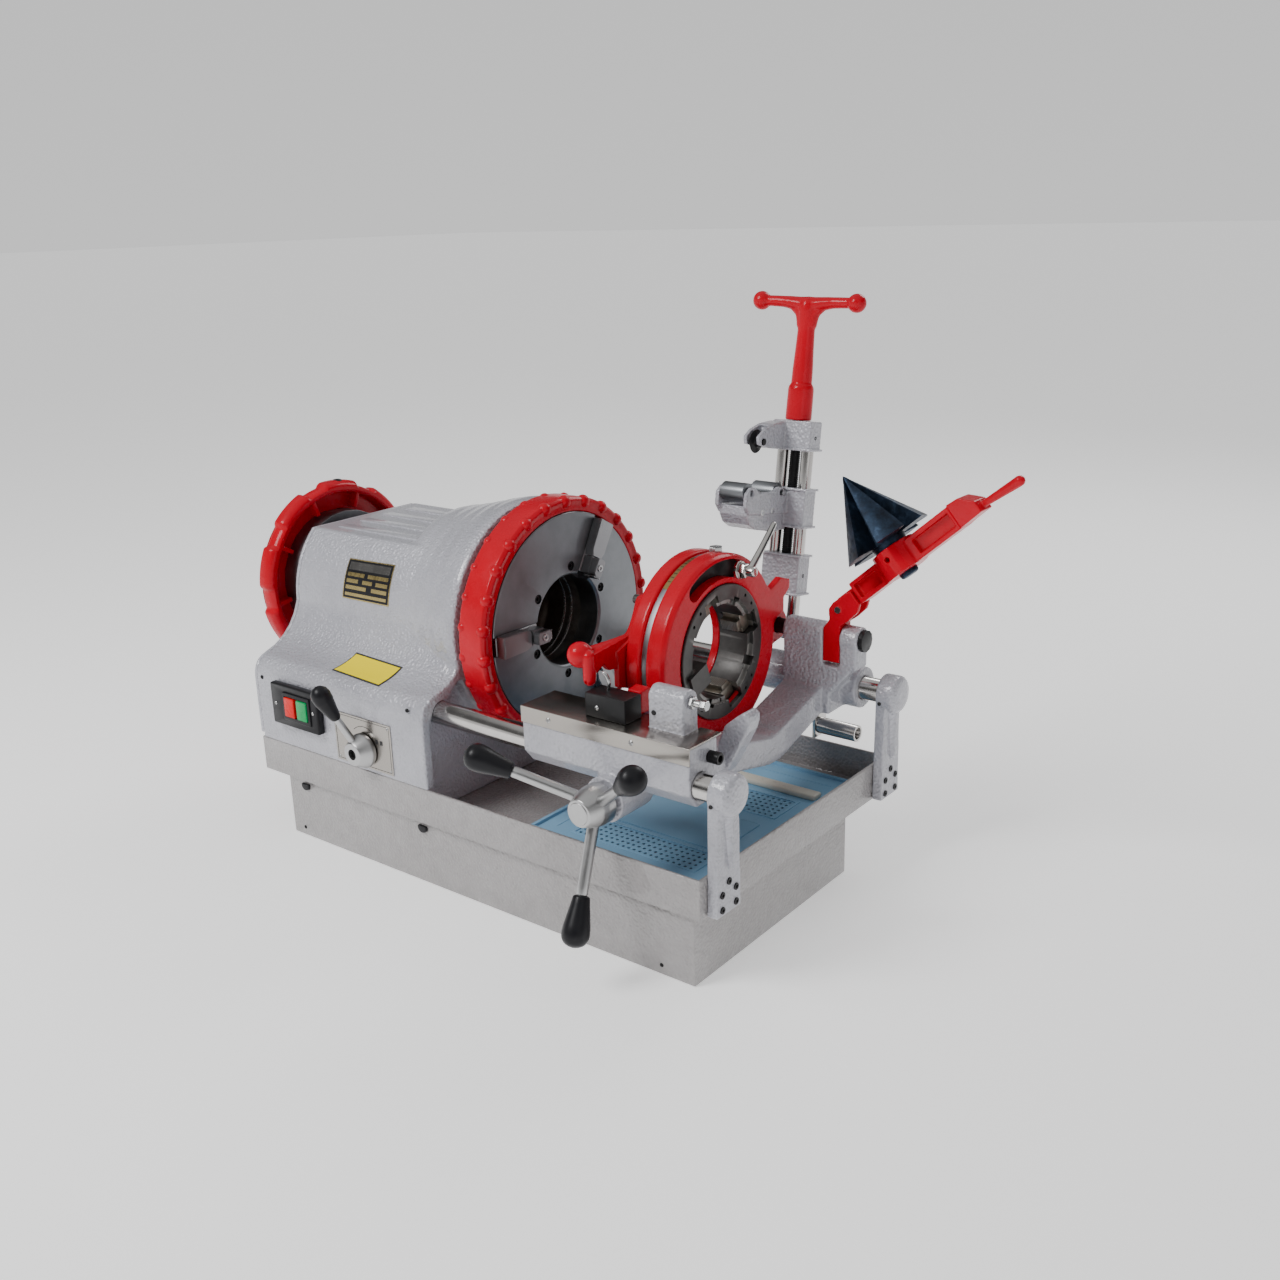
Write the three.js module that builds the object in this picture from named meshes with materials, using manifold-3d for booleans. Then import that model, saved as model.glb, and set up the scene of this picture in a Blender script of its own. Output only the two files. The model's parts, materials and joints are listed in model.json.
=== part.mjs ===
// Pipe threading machine, bench type, for pipe up to 4 inch.
// Millimetres. Origin on the ground, under the spindle axis, in the plane of the chuck's front face.
// +X runs along the spindle away from the headstock, +Y to the back, +Z up; the operator stands at -Y.
import * as THREE from 'three';
import Module from 'manifold-3d';
import { mergeVertices } from 'three/addons/utils/BufferGeometryUtils.js';

const wasm = await Module();
wasm.setup();

// ---- driving dimensions --------------------------------------------------------------------
const GAP = 0.3; // running gap between pieces that touch
const SPINDLE_Z = 312.8;
const BORE_R = 60; // passes 4 inch pipe
const BASE = { x0: -346, x1: 346, y0: -210, y1: 120, top: 88.7, wall: 3 };
const TRAY = { x0: -385, x1: 360, y0: -218, y1: 200, z0: 89, top: 137.4, wall: 4, floor: 95 };
const HEAD = { x0: -383, x1: -57, wallX: -75, front: -217, back: 196, foot: 95.3, shoulder: 137.7, top: 409 };
const BARREL_R = 134; // headstock round part, about the spindle
const SHELL = 12; // casting wall
const RAIL = { y: 183, z: 230.4, r: 15, x0: -88, x1: 378 };
const BOSS = { x0: 362, x1: 388.5, r: 24.4 }; // bracket boss on the rail's end
const CHUCK = { r: 141.4, ringR: 161, width: 43.6, knobs: 26 };
const REAR_RING = { r: 138, x0: -472, x1: -442, lobes: 9 };
const TUBE_R = 68; // spindle tube outside
const SPINDLE_GEAR = { teeth: 38, module: 4, x0: -330, x1: -306 };
const COUNTER = { y: 30, reach: 108, teeth: 16, wheelTeeth: 28, wheelModule: 2.5, wheelX0: -356, wheelX1: -341 };
const MOTOR = { y: 80, r: 54, bore: 34, x0: -285, x1: -120, pinionTeeth: 12 };
const BLOCK = { x0: 100, x1: 338, front: -203, back: -150, bottom: 207, top: 278 };
const LUG = { x0: 264, x1: 312 }; // latch lug on the block
const FEED = { x: 229.5, z: 198, teeth: 12, module: 3, face: -259, back: -222, splay: -0.49, grip: 90, reach: 141 };
const PIVOT = { y: 146, z: 306, r: 10, x0: 150, x1: 352 };
const BEAM = { x0: 244.2, x1: 301 }; // saddle beam from the block to the upright
const UPRIGHT = { x0: 244.2, x1: 350, front: 131, back: 159, slot0: 301.5, slot1: 325.5 };
const DIE = { x0: 186, face: 241, x1: 243.5, r: 118.5, bandR: 114.5, band0: 207, band1: 215.5, chasers: 4 };
const CORE = { r: 72, bore: 58, flangeR: 82.5, flangeBore: 64, x0: 197 };
const CAM_R = 101; // cam plate behind the die head
const CUTTER = { x: 200, lean: 9, offset: 50, spread: 18, rodR: 8, jawX: 178, pipeY: -12.5, screwR: 7 };
const REAMER = { x: 322, rise: 38.5, angle: 41, cone: 104, coneR: 56 };
const COUNTER_Z = SPINDLE_Z - Math.sqrt(COUNTER.reach ** 2 - COUNTER.y ** 2);

// ---- finishes --------------------------------------------------------------------------------
const finish = (color, roughness, metalness) => ({ color, roughness, metalness });
const HAMMERTONE = finish(0xaeacb8, 0.42, 0.15);
const RED = finish(0xd4101c, 0.28, 0.05);
const STEEL = finish(0xa8a9ac, 0.32, 0.9);
const CHROME = finish(0xdcdde0, 0.14, 1.0);
const DARK_STEEL = finish(0x3a3a3d, 0.45, 0.75);
const BLACK = finish(0x17181a, 0.5, 0.05);
const BRONZE = finish(0x9a7b45, 0.4, 0.85);
const STAINLESS = finish(0xb9b6b0, 0.28, 1.0);
const BLUED = finish(0x2c3644, 0.5, 0.6);
const GREEN = finish(0x11884a, 0.35, 0.0);
const ENAMEL = finish(0x5d7f9e, 0.4, 0.2);

// ---- solids ----------------------------------------------------------------------------------
function solid(geometry) {
  const bare = geometry.clone();
  bare.deleteAttribute('normal');
  bare.deleteAttribute('uv');
  const merged = mergeVertices(bare, 1e-4);
  return new wasm.Manifold(new wasm.Mesh({
    numProp: 3,
    vertProperties: new Float32Array(merged.attributes.position.array),
    triVerts: new Uint32Array(merged.index.array),
  }));
}

function geometryOf(body) {
  const mesh = body.getMesh();
  const geometry = new THREE.BufferGeometry();
  geometry.setAttribute('position', new THREE.BufferAttribute(new Float32Array(mesh.vertProperties), 3));
  geometry.setIndex(new THREE.BufferAttribute(new Uint32Array(mesh.triVerts), 1));
  return geometry;
}

const join = (...bodies) => bodies.reduce((a, b) => a.add(b));
const cut = (body, ...tools) => tools.reduce((a, b) => a.subtract(b), body);

function box(x0, x1, y0, y1, z0, z1) {
  const geometry = new THREE.BoxGeometry(x1 - x0, y1 - y0, z1 - z0);
  return solid(geometry.translate((x0 + x1) / 2, (y0 + y1) / 2, (z0 + z1) / 2));
}

// turned piece: profile points are [distance along the axis, radius]
function turned(axis, profile, segments = 20) {
  const points = profile.map(([along, radius]) => new THREE.Vector2(radius, along));
  const area = points.reduce((sum, p, i) => {
    const q = points[(i + 1) % points.length];
    return sum + p.x * q.y - q.x * p.y;
  }, 0);
  if (area < 0) points.reverse();
  const onAxis = points[0].x === 0 && points[points.length - 1].x === 0;
  if (!onAxis) points.push(points[0].clone());
  const geometry = new THREE.LatheGeometry(points, segments);
  if (axis === 'x') geometry.rotateZ(-Math.PI / 2);
  if (axis === 'z') geometry.rotateX(Math.PI / 2);
  return solid(geometry);
}

const rod = (axis, r, a, b, segments = 12) => turned(axis, [[a, 0], [a, r], [b, r], [b, 0]], segments);
const pipe = (axis, r, bore, a, b, segments = 20) =>
  turned(axis, [[a, bore], [a, r], [b, r], [b, bore]], segments);

// straight rod between two points
function strut(from, to, r0, r1 = r0, segments = 8) {
  const start = new THREE.Vector3(...from);
  const end = new THREE.Vector3(...to);
  const geometry = new THREE.CylinderGeometry(r1, r0, start.distanceTo(end), segments);
  const turn = new THREE.Quaternion().setFromUnitVectors(
    new THREE.Vector3(0, 1, 0), end.clone().sub(start).normalize());
  return solid(geometry.applyQuaternion(turn).translate(...start.add(end).multiplyScalar(0.5).toArray()));
}

const ball = (centre, r, segments = 10) =>
  solid(new THREE.SphereGeometry(r, segments, segments / 2).translate(...centre));

// flat outline extruded along an axis: outline is [y, z] for x, [x, z] for y, [x, y] for z
function slab(axis, outline, a, b) {
  const shape = Array.isArray(outline)
    ? new THREE.Shape(outline.map((p) => new THREE.Vector2(...p)))
    : outline;
  const geometry = new THREE.ExtrudeGeometry(shape, { depth: b - a, bevelEnabled: false, curveSegments: 5 });
  geometry.translate(0, 0, a);
  if (axis === 'x') {
    geometry.applyMatrix4(new THREE.Matrix4().set(0, 0, 1, 0, 1, 0, 0, 0, 0, 1, 0, 0, 0, 0, 0, 1));
  }
  if (axis === 'y') {
    const turn = new THREE.Matrix4().set(1, 0, 0, 0, 0, 0, -1, 0, 0, 1, 0, 0, 0, 0, 0, 1);
    geometry.translate(0, 0, -a - b).applyMatrix4(turn);
  }
  return solid(geometry);
}

const degrees = (angle) => (angle * Math.PI) / 180;
const around = (count, start = 0) => Array.from({ length: count }, (_, i) => start + (360 * i) / count);

// involute-like spur gear outline, with backlash so that it runs free in its mate
function gearOutline(teeth, module, turn = 0) {
  const pitch = (teeth * module) / 2;
  const tip = pitch + 0.7 * module;
  const root = pitch - 1.05 * module;
  const step = 360 / teeth;
  const corners = [[root, -0.3], [tip, -0.12], [tip, 0.12], [root, 0.3]];
  return around(teeth, turn).flatMap((angle) => corners.map(([r, share]) => {
    const at = degrees(angle + share * step);
    return [r * Math.cos(at), r * Math.sin(at)];
  }));
}

// ring outline with raised lobes; shares are the lobe's corners in degrees, raised but the end two
function scallops(count, low, high, corners) {
  return around(count, 5).flatMap((angle) => corners.map((offset, i) => {
    const r = i === 0 || i === corners.length - 1 ? low : high;
    return [r * Math.cos(degrees(angle + offset)), r * Math.sin(degrees(angle + offset))];
  }));
}

// ---- scene graph -----------------------------------------------------------------------------
const machine = new THREE.Group();

function assembly(name, parent = machine, position = [0, 0, 0]) {
  const group = new THREE.Group();
  group.name = name;
  group.position.set(...position);
  parent.add(group);
  return group;
}

function place(name, body, look, parent = machine, position = [0, 0, 0]) {
  const mesh = new THREE.Mesh(geometryOf(body), new THREE.MeshStandardMaterial(look));
  mesh.name = name;
  mesh.position.set(...position);
  parent.add(mesh);
  return mesh;
}

// ---- base, tray and screen -------------------------------------------------------------------
function makeBase() {
  const w = BASE.wall;
  const tank = cut(
    box(BASE.x0, BASE.x1, BASE.y0, BASE.y1, 0, BASE.top),
    box(BASE.x0 + w, BASE.x1 - w, BASE.y0 + w, BASE.y1 - w, w, BASE.top + 1));
  place('base_tank', tank, HAMMERTONE);
}

function makeTray() {
  const w = TRAY.wall;
  const shell = cut(
    box(TRAY.x0, TRAY.x1, TRAY.y0, TRAY.y1, TRAY.z0, TRAY.top),
    box(TRAY.x0 + w, TRAY.x1 - w, TRAY.y0 + w, TRAY.y1 - w, TRAY.floor, TRAY.top + 1),
    box(90, 300, -120, 80, TRAY.z0 - 1, TRAY.floor + 1)); // drain to the tank
  place('chip_tray', shell, HAMMERTONE);
  const plate = { x0: 62, x1: 334, y0: -164, y1: 176, z: TRAY.floor + GAP, thick: 2, rim: 5 };
  let screen = join(
    box(plate.x0, plate.x1, plate.y0, plate.y1, plate.z, plate.z + plate.thick + 4),
    box(plate.x0 + 20, plate.x1 - 20, plate.y0 + 20, plate.y1 - 20, plate.z, plate.z + plate.thick));
  screen = cut(screen, box(plate.x0 + plate.rim, plate.x1 - plate.rim, plate.y0 + plate.rim,
    plate.y1 - plate.rim, plate.z + plate.thick, plate.z + 20));
  for (const y of [-90, -50, -10, 30]) screen = cut(screen, box(110, 280, y, y + 6, plate.z - 1, plate.z + 3));
  place('drip_screen', screen, ENAMEL);
}

// ---- headstock -------------------------------------------------------------------------------
// outline across X, shrunk by the wall thickness for the hollow
function headOutline(inset) {
  const r = BARREL_R - inset;
  const top = HEAD.top - inset;
  const low = HEAD.shoulder + (inset ? 4 : 0);
  const outline = new THREE.Shape();
  outline.moveTo(HEAD.front + inset, low);
  outline.lineTo(HEAD.back - inset, low);
  outline.lineTo(HEAD.back - inset, 238 - inset);
  outline.quadraticCurveTo(HEAD.back - inset, 252 - inset, 182 - inset, 256 - inset);
  outline.quadraticCurveTo(150 - inset, 266 - inset, r, SPINDLE_Z);
  const reach = Math.acos((top - SPINDLE_Z) / r);
  outline.absarc(0, SPINDLE_Z, r, 0, Math.PI / 2 - reach, false);
  outline.absarc(0, SPINDLE_Z, r, Math.PI / 2 + reach, Math.PI, false);
  outline.quadraticCurveTo(-150 + inset, 266 - inset, -196 + inset, 254 - inset);
  outline.quadraticCurveTo(HEAD.front + inset, 248 - inset, HEAD.front + inset, 222);
  return outline;
}

function makeHeadstock() {
  const bell = turned('x', [[-190, 60], [-190, 118], [-160, 126], [-125, 138], [-95, 149], [-57, 155],
    [-57, 60]], 24).translate([0, 0, SPINDLE_Z]);
  const flange = box(HEAD.wallX - 1, HEAD.x1, HEAD.front, HEAD.front + 14, HEAD.shoulder, 236);
  const feet = box(HEAD.x0 + 8, HEAD.wallX, HEAD.front + 8, HEAD.back - 3, HEAD.foot, HEAD.shoulder + 6);
  const ridges = [-52, -20, 12, 44].map((y) => box(HEAD.x0 + 24, -250, y, y + 8, HEAD.top - 2, HEAD.top + 2));
  const outside = join(slab('x', headOutline(0), HEAD.x0, HEAD.wallX), bell, flange, feet, ...ridges);
  const hollow = join(
    slab('x', headOutline(SHELL), HEAD.x0 - 1, -100),
    box(HEAD.x0 + 20, -100, HEAD.front + 20, HEAD.back - SHELL, HEAD.foot + 8, 160));
  const bearingSeat = rod('x', 84 + GAP, -120, -60, 24).translate([0, 0, SPINDLE_Z]);
  const throat = rod('x', TUBE_R + 1, -70, -50, 24).translate([0, 0, SPINDLE_Z]);
  const railSeats = [-1, 1].map((side) =>
    rod('x', RAIL.r + GAP, RAIL.x0 - GAP, 0, 20).translate([0, side * RAIL.y, RAIL.z]));
  place('headstock_casting', cut(outside, hollow, bearingSeat, throat, ...railSeats), HAMMERTONE);

  const lid = slab('x', headOutline(1), HEAD.x0 - 7, HEAD.x0 - GAP);
  const lidSeat = rod('x', 84 + GAP, HEAD.x0 - 12, HEAD.x0 + 1, 24).translate([0, 0, SPINDLE_Z]);
  place('headstock_end_cover', cut(lid, lidSeat), HAMMERTONE);
}

function makeSwitch() {
  const plate = { x0: -340, x1: -246, z0: 171, z1: 229, back: HEAD.front - GAP, depth: 10.7 };
  const front = plate.back - plate.depth;
  const keys = [
    { name: 'stop_button', x0: -309, x1: -289, look: RED },
    { name: 'start_button', x0: -284, x1: -264, look: GREEN },
  ];
  const z0 = 187;
  const z1 = 214;
  let housing = box(plate.x0, plate.x1, front, plate.back, plate.z0, plate.z1);
  for (const key of keys) {
    housing = cut(housing, box(key.x0 - GAP, key.x1 + GAP, front - 1, front + 8.5, z0 - GAP, z1 + GAP));
    place(key.name, box(key.x0, key.x1, front - 4, front + 4.5, z0, z1), key.look);
  }
  place('switch_housing', housing, BLACK);
}

function makeSelector() {
  const y = HEAD.front - GAP;
  const hub = [-166, 0, 168];
  const lever = join(
    turned('y', [[y - 2, 0], [y - 2, 23], [y - 9, 23], [y - 24, 15], [y - 24, 0]]).translate(hub),
    strut([-168, -231, 176], [-181, -251, 222], 5.5, 4.5),
    strut([-180.5, -250.4, 220], [-189, -262, 251], 9, 13),
    ball([-189, -262, 251], 13));
  place('selector_lever', lever, CHROME);
}

// ---- drive inside the headstock --------------------------------------------------------------
function makeDrive() {
  const motor = assembly('motor', machine, [0, MOTOR.y, COUNTER_Z]);
  place('motor_housing', turned('x', [[MOTOR.x0, MOTOR.bore], [MOTOR.x0, MOTOR.r], [MOTOR.x1, MOTOR.r],
    [MOTOR.x1, 0], [MOTOR.x1 - 8, 0], [MOTOR.x1 - 8, MOTOR.bore]]), DARK_STEEL, motor);
  const pinionTurn = 180 / MOTOR.pinionTeeth;
  const rotor = join(
    rod('x', MOTOR.bore - 4, MOTOR.x0 + 8, MOTOR.x1 - 12),
    rod('x', 8, COUNTER.wheelX1 - 1, MOTOR.x0 + 9, 16),
    slab('x', gearOutline(MOTOR.pinionTeeth, COUNTER.wheelModule, 180 + pinionTurn),
      COUNTER.wheelX0, COUNTER.wheelX1));
  place('motor_rotor', rotor, STEEL, motor);

  const layshaft = assembly('layshaft', machine, [0, COUNTER.y, COUNTER_Z]);
  const toSpindle = (Math.atan2(SPINDLE_Z - COUNTER_Z, -COUNTER.y) * 180) / Math.PI;
  const shaft = join(
    rod('x', 9, -372, -296),
    slab('x', gearOutline(COUNTER.teeth, SPINDLE_GEAR.module, toSpindle + 180 / COUNTER.teeth),
      SPINDLE_GEAR.x0 + 1, SPINDLE_GEAR.x1 - 1),
    slab('x', gearOutline(COUNTER.wheelTeeth, COUNTER.wheelModule), COUNTER.wheelX0, COUNTER.wheelX1));
  place('layshaft_gears', shaft, STEEL, layshaft);

  const pump = join(box(-250, -200, -150, -100, 110, 150), rod('x', 14, -262, -249).translate([0, -125, 130]));
  place('oil_pump', pump, DARK_STEEL);
}

// ---- spindle and its two chucks --------------------------------------------------------------
function radialSlot(x0, x1, width, r0, r1, angle) {
  return box(x0, x1, r0, r1, -width / 2, width / 2).rotate([angle, 0, 0]);
}

const JAW_ANGLES = around(3, 180);

function makeSpindle() {
  const spindle = assembly('spindle', machine, [0, 0, SPINDLE_Z]);
  place('spindle_tube', pipe('x', TUBE_R, BORE_R + 1, -430, -33.5, 24), STEEL, spindle);

  const towardLayshaft = (Math.atan2(COUNTER_Z - SPINDLE_Z, COUNTER.y) * 180) / Math.PI;
  const gear = cut(
    slab('x', gearOutline(SPINDLE_GEAR.teeth, SPINDLE_GEAR.module, towardLayshaft),
      SPINDLE_GEAR.x0, SPINDLE_GEAR.x1),
    rod('x', TUBE_R + GAP, -400, -200, 24));
  place('spindle_gear', gear, STEEL, spindle);

  for (const [name, x0, x1] of [['front_bearing', -99, -71], ['rear_bearing', -389, -368]]) {
    place(name, pipe('x', 84, TUBE_R + 3 * GAP, x0, x1, 24), BRONZE, spindle);
  }

  let face = pipe('x', CHUCK.r, BORE_R, -33, 0, 48);
  face = join(face, pipe('x', 90, TUBE_R + GAP, -54, -32, 24));
  for (const angle of JAW_ANGLES) face = cut(face, radialSlot(-19, 1, 25, 50, 150, angle));
  place('front_chuck_body', face, STEEL, spindle);

  const step = slab('x', [[64, -9], [88, -9.5], [96, -13], [137, -14], [137, 14], [96, 13], [88, 9.5], [64, 9]],
    GAP, 14);
  const jaw = join(box(-18.5, 1, 64, 138, -12, 12), step, box(13, 24, 62, 84, -8, 8));
  JAW_ANGLES.forEach((angle, i) => {
    const holder = assembly(`jaw_seat_${i + 1}`, spindle);
    holder.rotation.x = degrees(angle);
    place(`front_jaw_${i + 1}`, jaw, DARK_STEEL, holder);
  });
  makeHammerRing(spindle);
  makeRearChuck(spindle);
}

function makeHammerRing(spindle) {
  const x0 = -CHUCK.width;
  const outline = scallops(CHUCK.knobs, CHUCK.ringR, CHUCK.ringR + 3.8, [-4, -1.8, 1.8, 4]);
  const seat = CHUCK.r + 2.4 * GAP;
  const hollow = turned('x', [[-80, 92], [-33.4, 92], [-33.4, seat], [10, seat], [10, 0], [-80, 0]], 48);
  const rim = join(slab('x', outline, x0 + 4, -4), rod('x', CHUCK.ringR - 2, x0, 0, 24));
  place('hammer_ring', cut(rim, hollow), RED, spindle);
}

function makeRearChuck(spindle) {
  const angles = around(3, 90);
  let hub = join(pipe('x', 96, BORE_R, -461.5, -430.5, 24), pipe('x', 78, TUBE_R + GAP, -431, -395, 24));
  for (const angle of angles) hub = cut(hub, radialSlot(-463, -448, 21, 50, 110, angle));
  place('rear_chuck_body', hub, STEEL, spindle);

  const outline = scallops(REAR_RING.lobes, 133, REAR_RING.r, [-13, -10, 0, 10, 13]);
  const hollow = turned('x', [[-500, 0], [-500, 62], [-462, 62], [-462, 121], [-430, 126], [-430, 0]], 24);
  const rim = join(slab('x', outline, -469, -445), rod('x', 131, REAR_RING.x0, REAR_RING.x1, 24));
  const ribs = around(REAR_RING.lobes, 30).map((angle) => radialSlot(-462.5, -446, 6, 101, 127, angle));
  place('rear_ring', join(cut(rim, hollow), ...ribs), RED, spindle);

  angles.forEach((angle, i) => {
    const holder = assembly(`rear_jaw_seat_${i + 1}`, spindle);
    holder.rotation.x = degrees(angle);
    place(`rear_jaw_${i + 1}`, box(-461, -449, 62, 94, -10, 10), DARK_STEEL, holder);
  });
}

// ---- rails and their end brackets ------------------------------------------------------------
function makeRails() {
  const pitch = Math.PI * FEED.module;
  let front = rod('x', RAIL.r, RAIL.x0, RAIL.x1, 20);
  for (let i = -12; i <= 4; i += 1) {
    const x = FEED.x + i * pitch;
    front = cut(front, slab('y', [[x - 1.6, -10.8], [x + 1.6, -10.8], [x + 4.2, -16], [x - 4.2, -16]], -12, 12));
  }
  place('rail_front', front, CHROME, machine, [0, -RAIL.y, RAIL.z]);
  place('rail_rear', rod('x', RAIL.r, RAIL.x0, RAIL.x1, 20), CHROME, machine, [0, RAIL.y, RAIL.z]);

  const half = 23;
  const foot = 90 - RAIL.z;
  const outer = 374;
  const post = slab('x', [[-half, foot], [half, foot], [half - 3, -8], [-half + 3, -8]], TRAY.x1 + GAP, outer);
  const rib = slab('x', [[-9, -12], [9, -12], [2.5, -85], [-2.5, -85]], outer - 1, outer + 6);
  const boss = turned('x', [[BOSS.x0, 0], [BOSS.x0, BOSS.r], [BOSS.x1 - 5, BOSS.r], [BOSS.x1 - 1.5, 17],
    [BOSS.x1, 0]]);
  const bracket = cut(join(post, rib, boss), rod('x', RAIL.r + GAP, 340, RAIL.x1 + GAP, 20));
  place('rail_bracket_front', bracket, HAMMERTONE, machine, [0, -RAIL.y, RAIL.z]);
  place('rail_bracket_rear', bracket, HAMMERTONE, machine, [0, RAIL.y, RAIL.z]);
}

// ---- carriage --------------------------------------------------------------------------------
function makeCarriage() {
  const block = slab('x', [[BLOCK.front, 224], [BLOCK.front + 14, BLOCK.bottom], [BLOCK.back, BLOCK.bottom],
    [BLOCK.back, BLOCK.top], [BLOCK.front, BLOCK.top]], BLOCK.x0, BLOCK.x1);
  const feedBoss = rod('y', 27, -216, -158, 20).translate([FEED.x, 0, FEED.z]);
  const saddle = new THREE.Shape();
  saddle.moveTo(-151, 252);
  saddle.bezierCurveTo(-120, 240, -60, 226, 0, 213);
  saddle.bezierCurveTo(14, 209, 28, 209, 42, 215);
  saddle.lineTo(132, 240);
  saddle.lineTo(132, 205);
  saddle.lineTo(44, 178);
  saddle.bezierCurveTo(30, 174, 10, 175, -10, 181);
  saddle.lineTo(-151, 212);
  const beam = slab('x', saddle, BEAM.x0, BEAM.x1);
  const panel = slab('y', [[UPRIGHT.x0, 226], [306, 226], [342, 268], [UPRIGHT.x1, 270], [UPRIGHT.x1, 308],
    [UPRIGHT.x0, 308]], UPRIGHT.front, UPRIGHT.back);
  const barrel = rod('x', 17, UPRIGHT.x0, UPRIGHT.x1, 20).translate([0, PIVOT.y, PIVOT.z]);
  const railBoss = rod('x', 27, 190, 334, 20).translate([0, RAIL.y, RAIL.z]);
  const neck = slab('x', [[UPRIGHT.front, 205], [RAIL.y, 206], [RAIL.y, 256], [150, 268],
    [UPRIGHT.front, 268]], UPRIGHT.x0, 312);
  const ear = slab('y', [[311, 214], [311, 250], [320, 272], [334, 284], [346, 293], [352, 288], [353, 281],
    [350, 270], [340, 250], [327, 226], [320, 214]], -112, -88);
  const shelf = box(BEAM.x1 - 4, 320, -152, -88, 206, 232);
  const lug = join(box(LUG.x0, LUG.x1, -176, -149, 270, 314),
    rod('x', 14, LUG.x0, LUG.x1, 20).translate([0, -162.5, 314]));
  let casting = join(block, feedBoss, beam, panel, neck, barrel, railBoss, ear, shelf, lug);
  casting = cut(casting,
    rod('x', RAIL.r + GAP, 80, 352, 20).translate([0, -RAIL.y, RAIL.z]),
    rod('x', RAIL.r + GAP, 80, 352, 20).translate([0, RAIL.y, RAIL.z]),
    rod('x', PIVOT.r + GAP, 190, 360).translate([0, PIVOT.y, PIVOT.z]),
    box(UPRIGHT.slot0, UPRIGHT.slot1, 120, 175, 270, 330),
    rod('y', 9 + 3 * GAP, -220, -150).translate([FEED.x, 0, FEED.z]),
    rod('y', 21, -194.5, -171.5, 20).translate([FEED.x, 0, FEED.z]));
  place('carriage_casting', casting, HAMMERTONE);

  const cover = join(box(BLOCK.x0, BLOCK.x1 + 2, -205, -145, BLOCK.top + GAP, 280),
    box(BLOCK.x0, BLOCK.x1 + 2, -205, BLOCK.front - GAP, 260, 280));
  const lugWindow = box(LUG.x0 - GAP, LUG.x1 + GAP, -176 - GAP, -140, 270, 290);
  place('splash_cover', cut(cover, lugWindow), STAINLESS);
  place('latch_block', box(184, 241, -188, -158, 280 + GAP, 308), BLACK);
  place('pivot_shaft', join(rod('x', PIVOT.r, PIVOT.x0, 350.5), rod('x', 14, 350.3, 356)), BLACK,
    machine, [0, PIVOT.y, PIVOT.z]);
  const tube = join(pipe('x', 11, 8, 264, 322, 16).translate([0, 190, 162]),
    cut(box(262, 266, 176, 204, 148, 202), rod('x', 8, 200, 300).translate([0, 190, 162])));
  place('oil_tube_holder', tube, CHROME);
}

function makeFeed() {
  const feed = assembly('feed', machine, [FEED.x, 0, FEED.z]);
  const hub = turned('y', [[FEED.back, 0], [FEED.back, 24], [FEED.back - 12, 24], [FEED.face, 16],
    [FEED.face, 0]], 16);
  const shaft = rod('y', 9, FEED.back - 1, -160);
  const pinion = slab('y', gearOutline(FEED.teeth, FEED.module, 90), -193, -173);
  const spokes = around(3, 37).map((angle) => {
    const reach = (r) => [r * Math.cos(degrees(angle)), -228 + r * FEED.splay, r * Math.sin(degrees(angle))];
    return { rod: strut(reach(14), reach(FEED.grip - GAP), 7, 6.4), reach };
  });
  place('feed_hub', join(hub, shaft, pinion, ...spokes.map((s) => s.rod)), CHROME, feed);
  const grip = turned('z', [[0, 0], [0, 9.5], [34, 15.4], [44, 15.9], [51, 13], [56.8, 0]], 14);
  spokes.forEach(({ reach }, i) => {
    const start = new THREE.Vector3(...reach(FEED.grip));
    const aim = new THREE.Vector3(...reach(FEED.reach)).sub(start).normalize();
    const mesh = place(`feed_grip_${i + 1}`, grip, BLACK, feed, start.toArray());
    mesh.quaternion.setFromUnitVectors(new THREE.Vector3(0, 0, 1), aim);
  });
}

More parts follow.
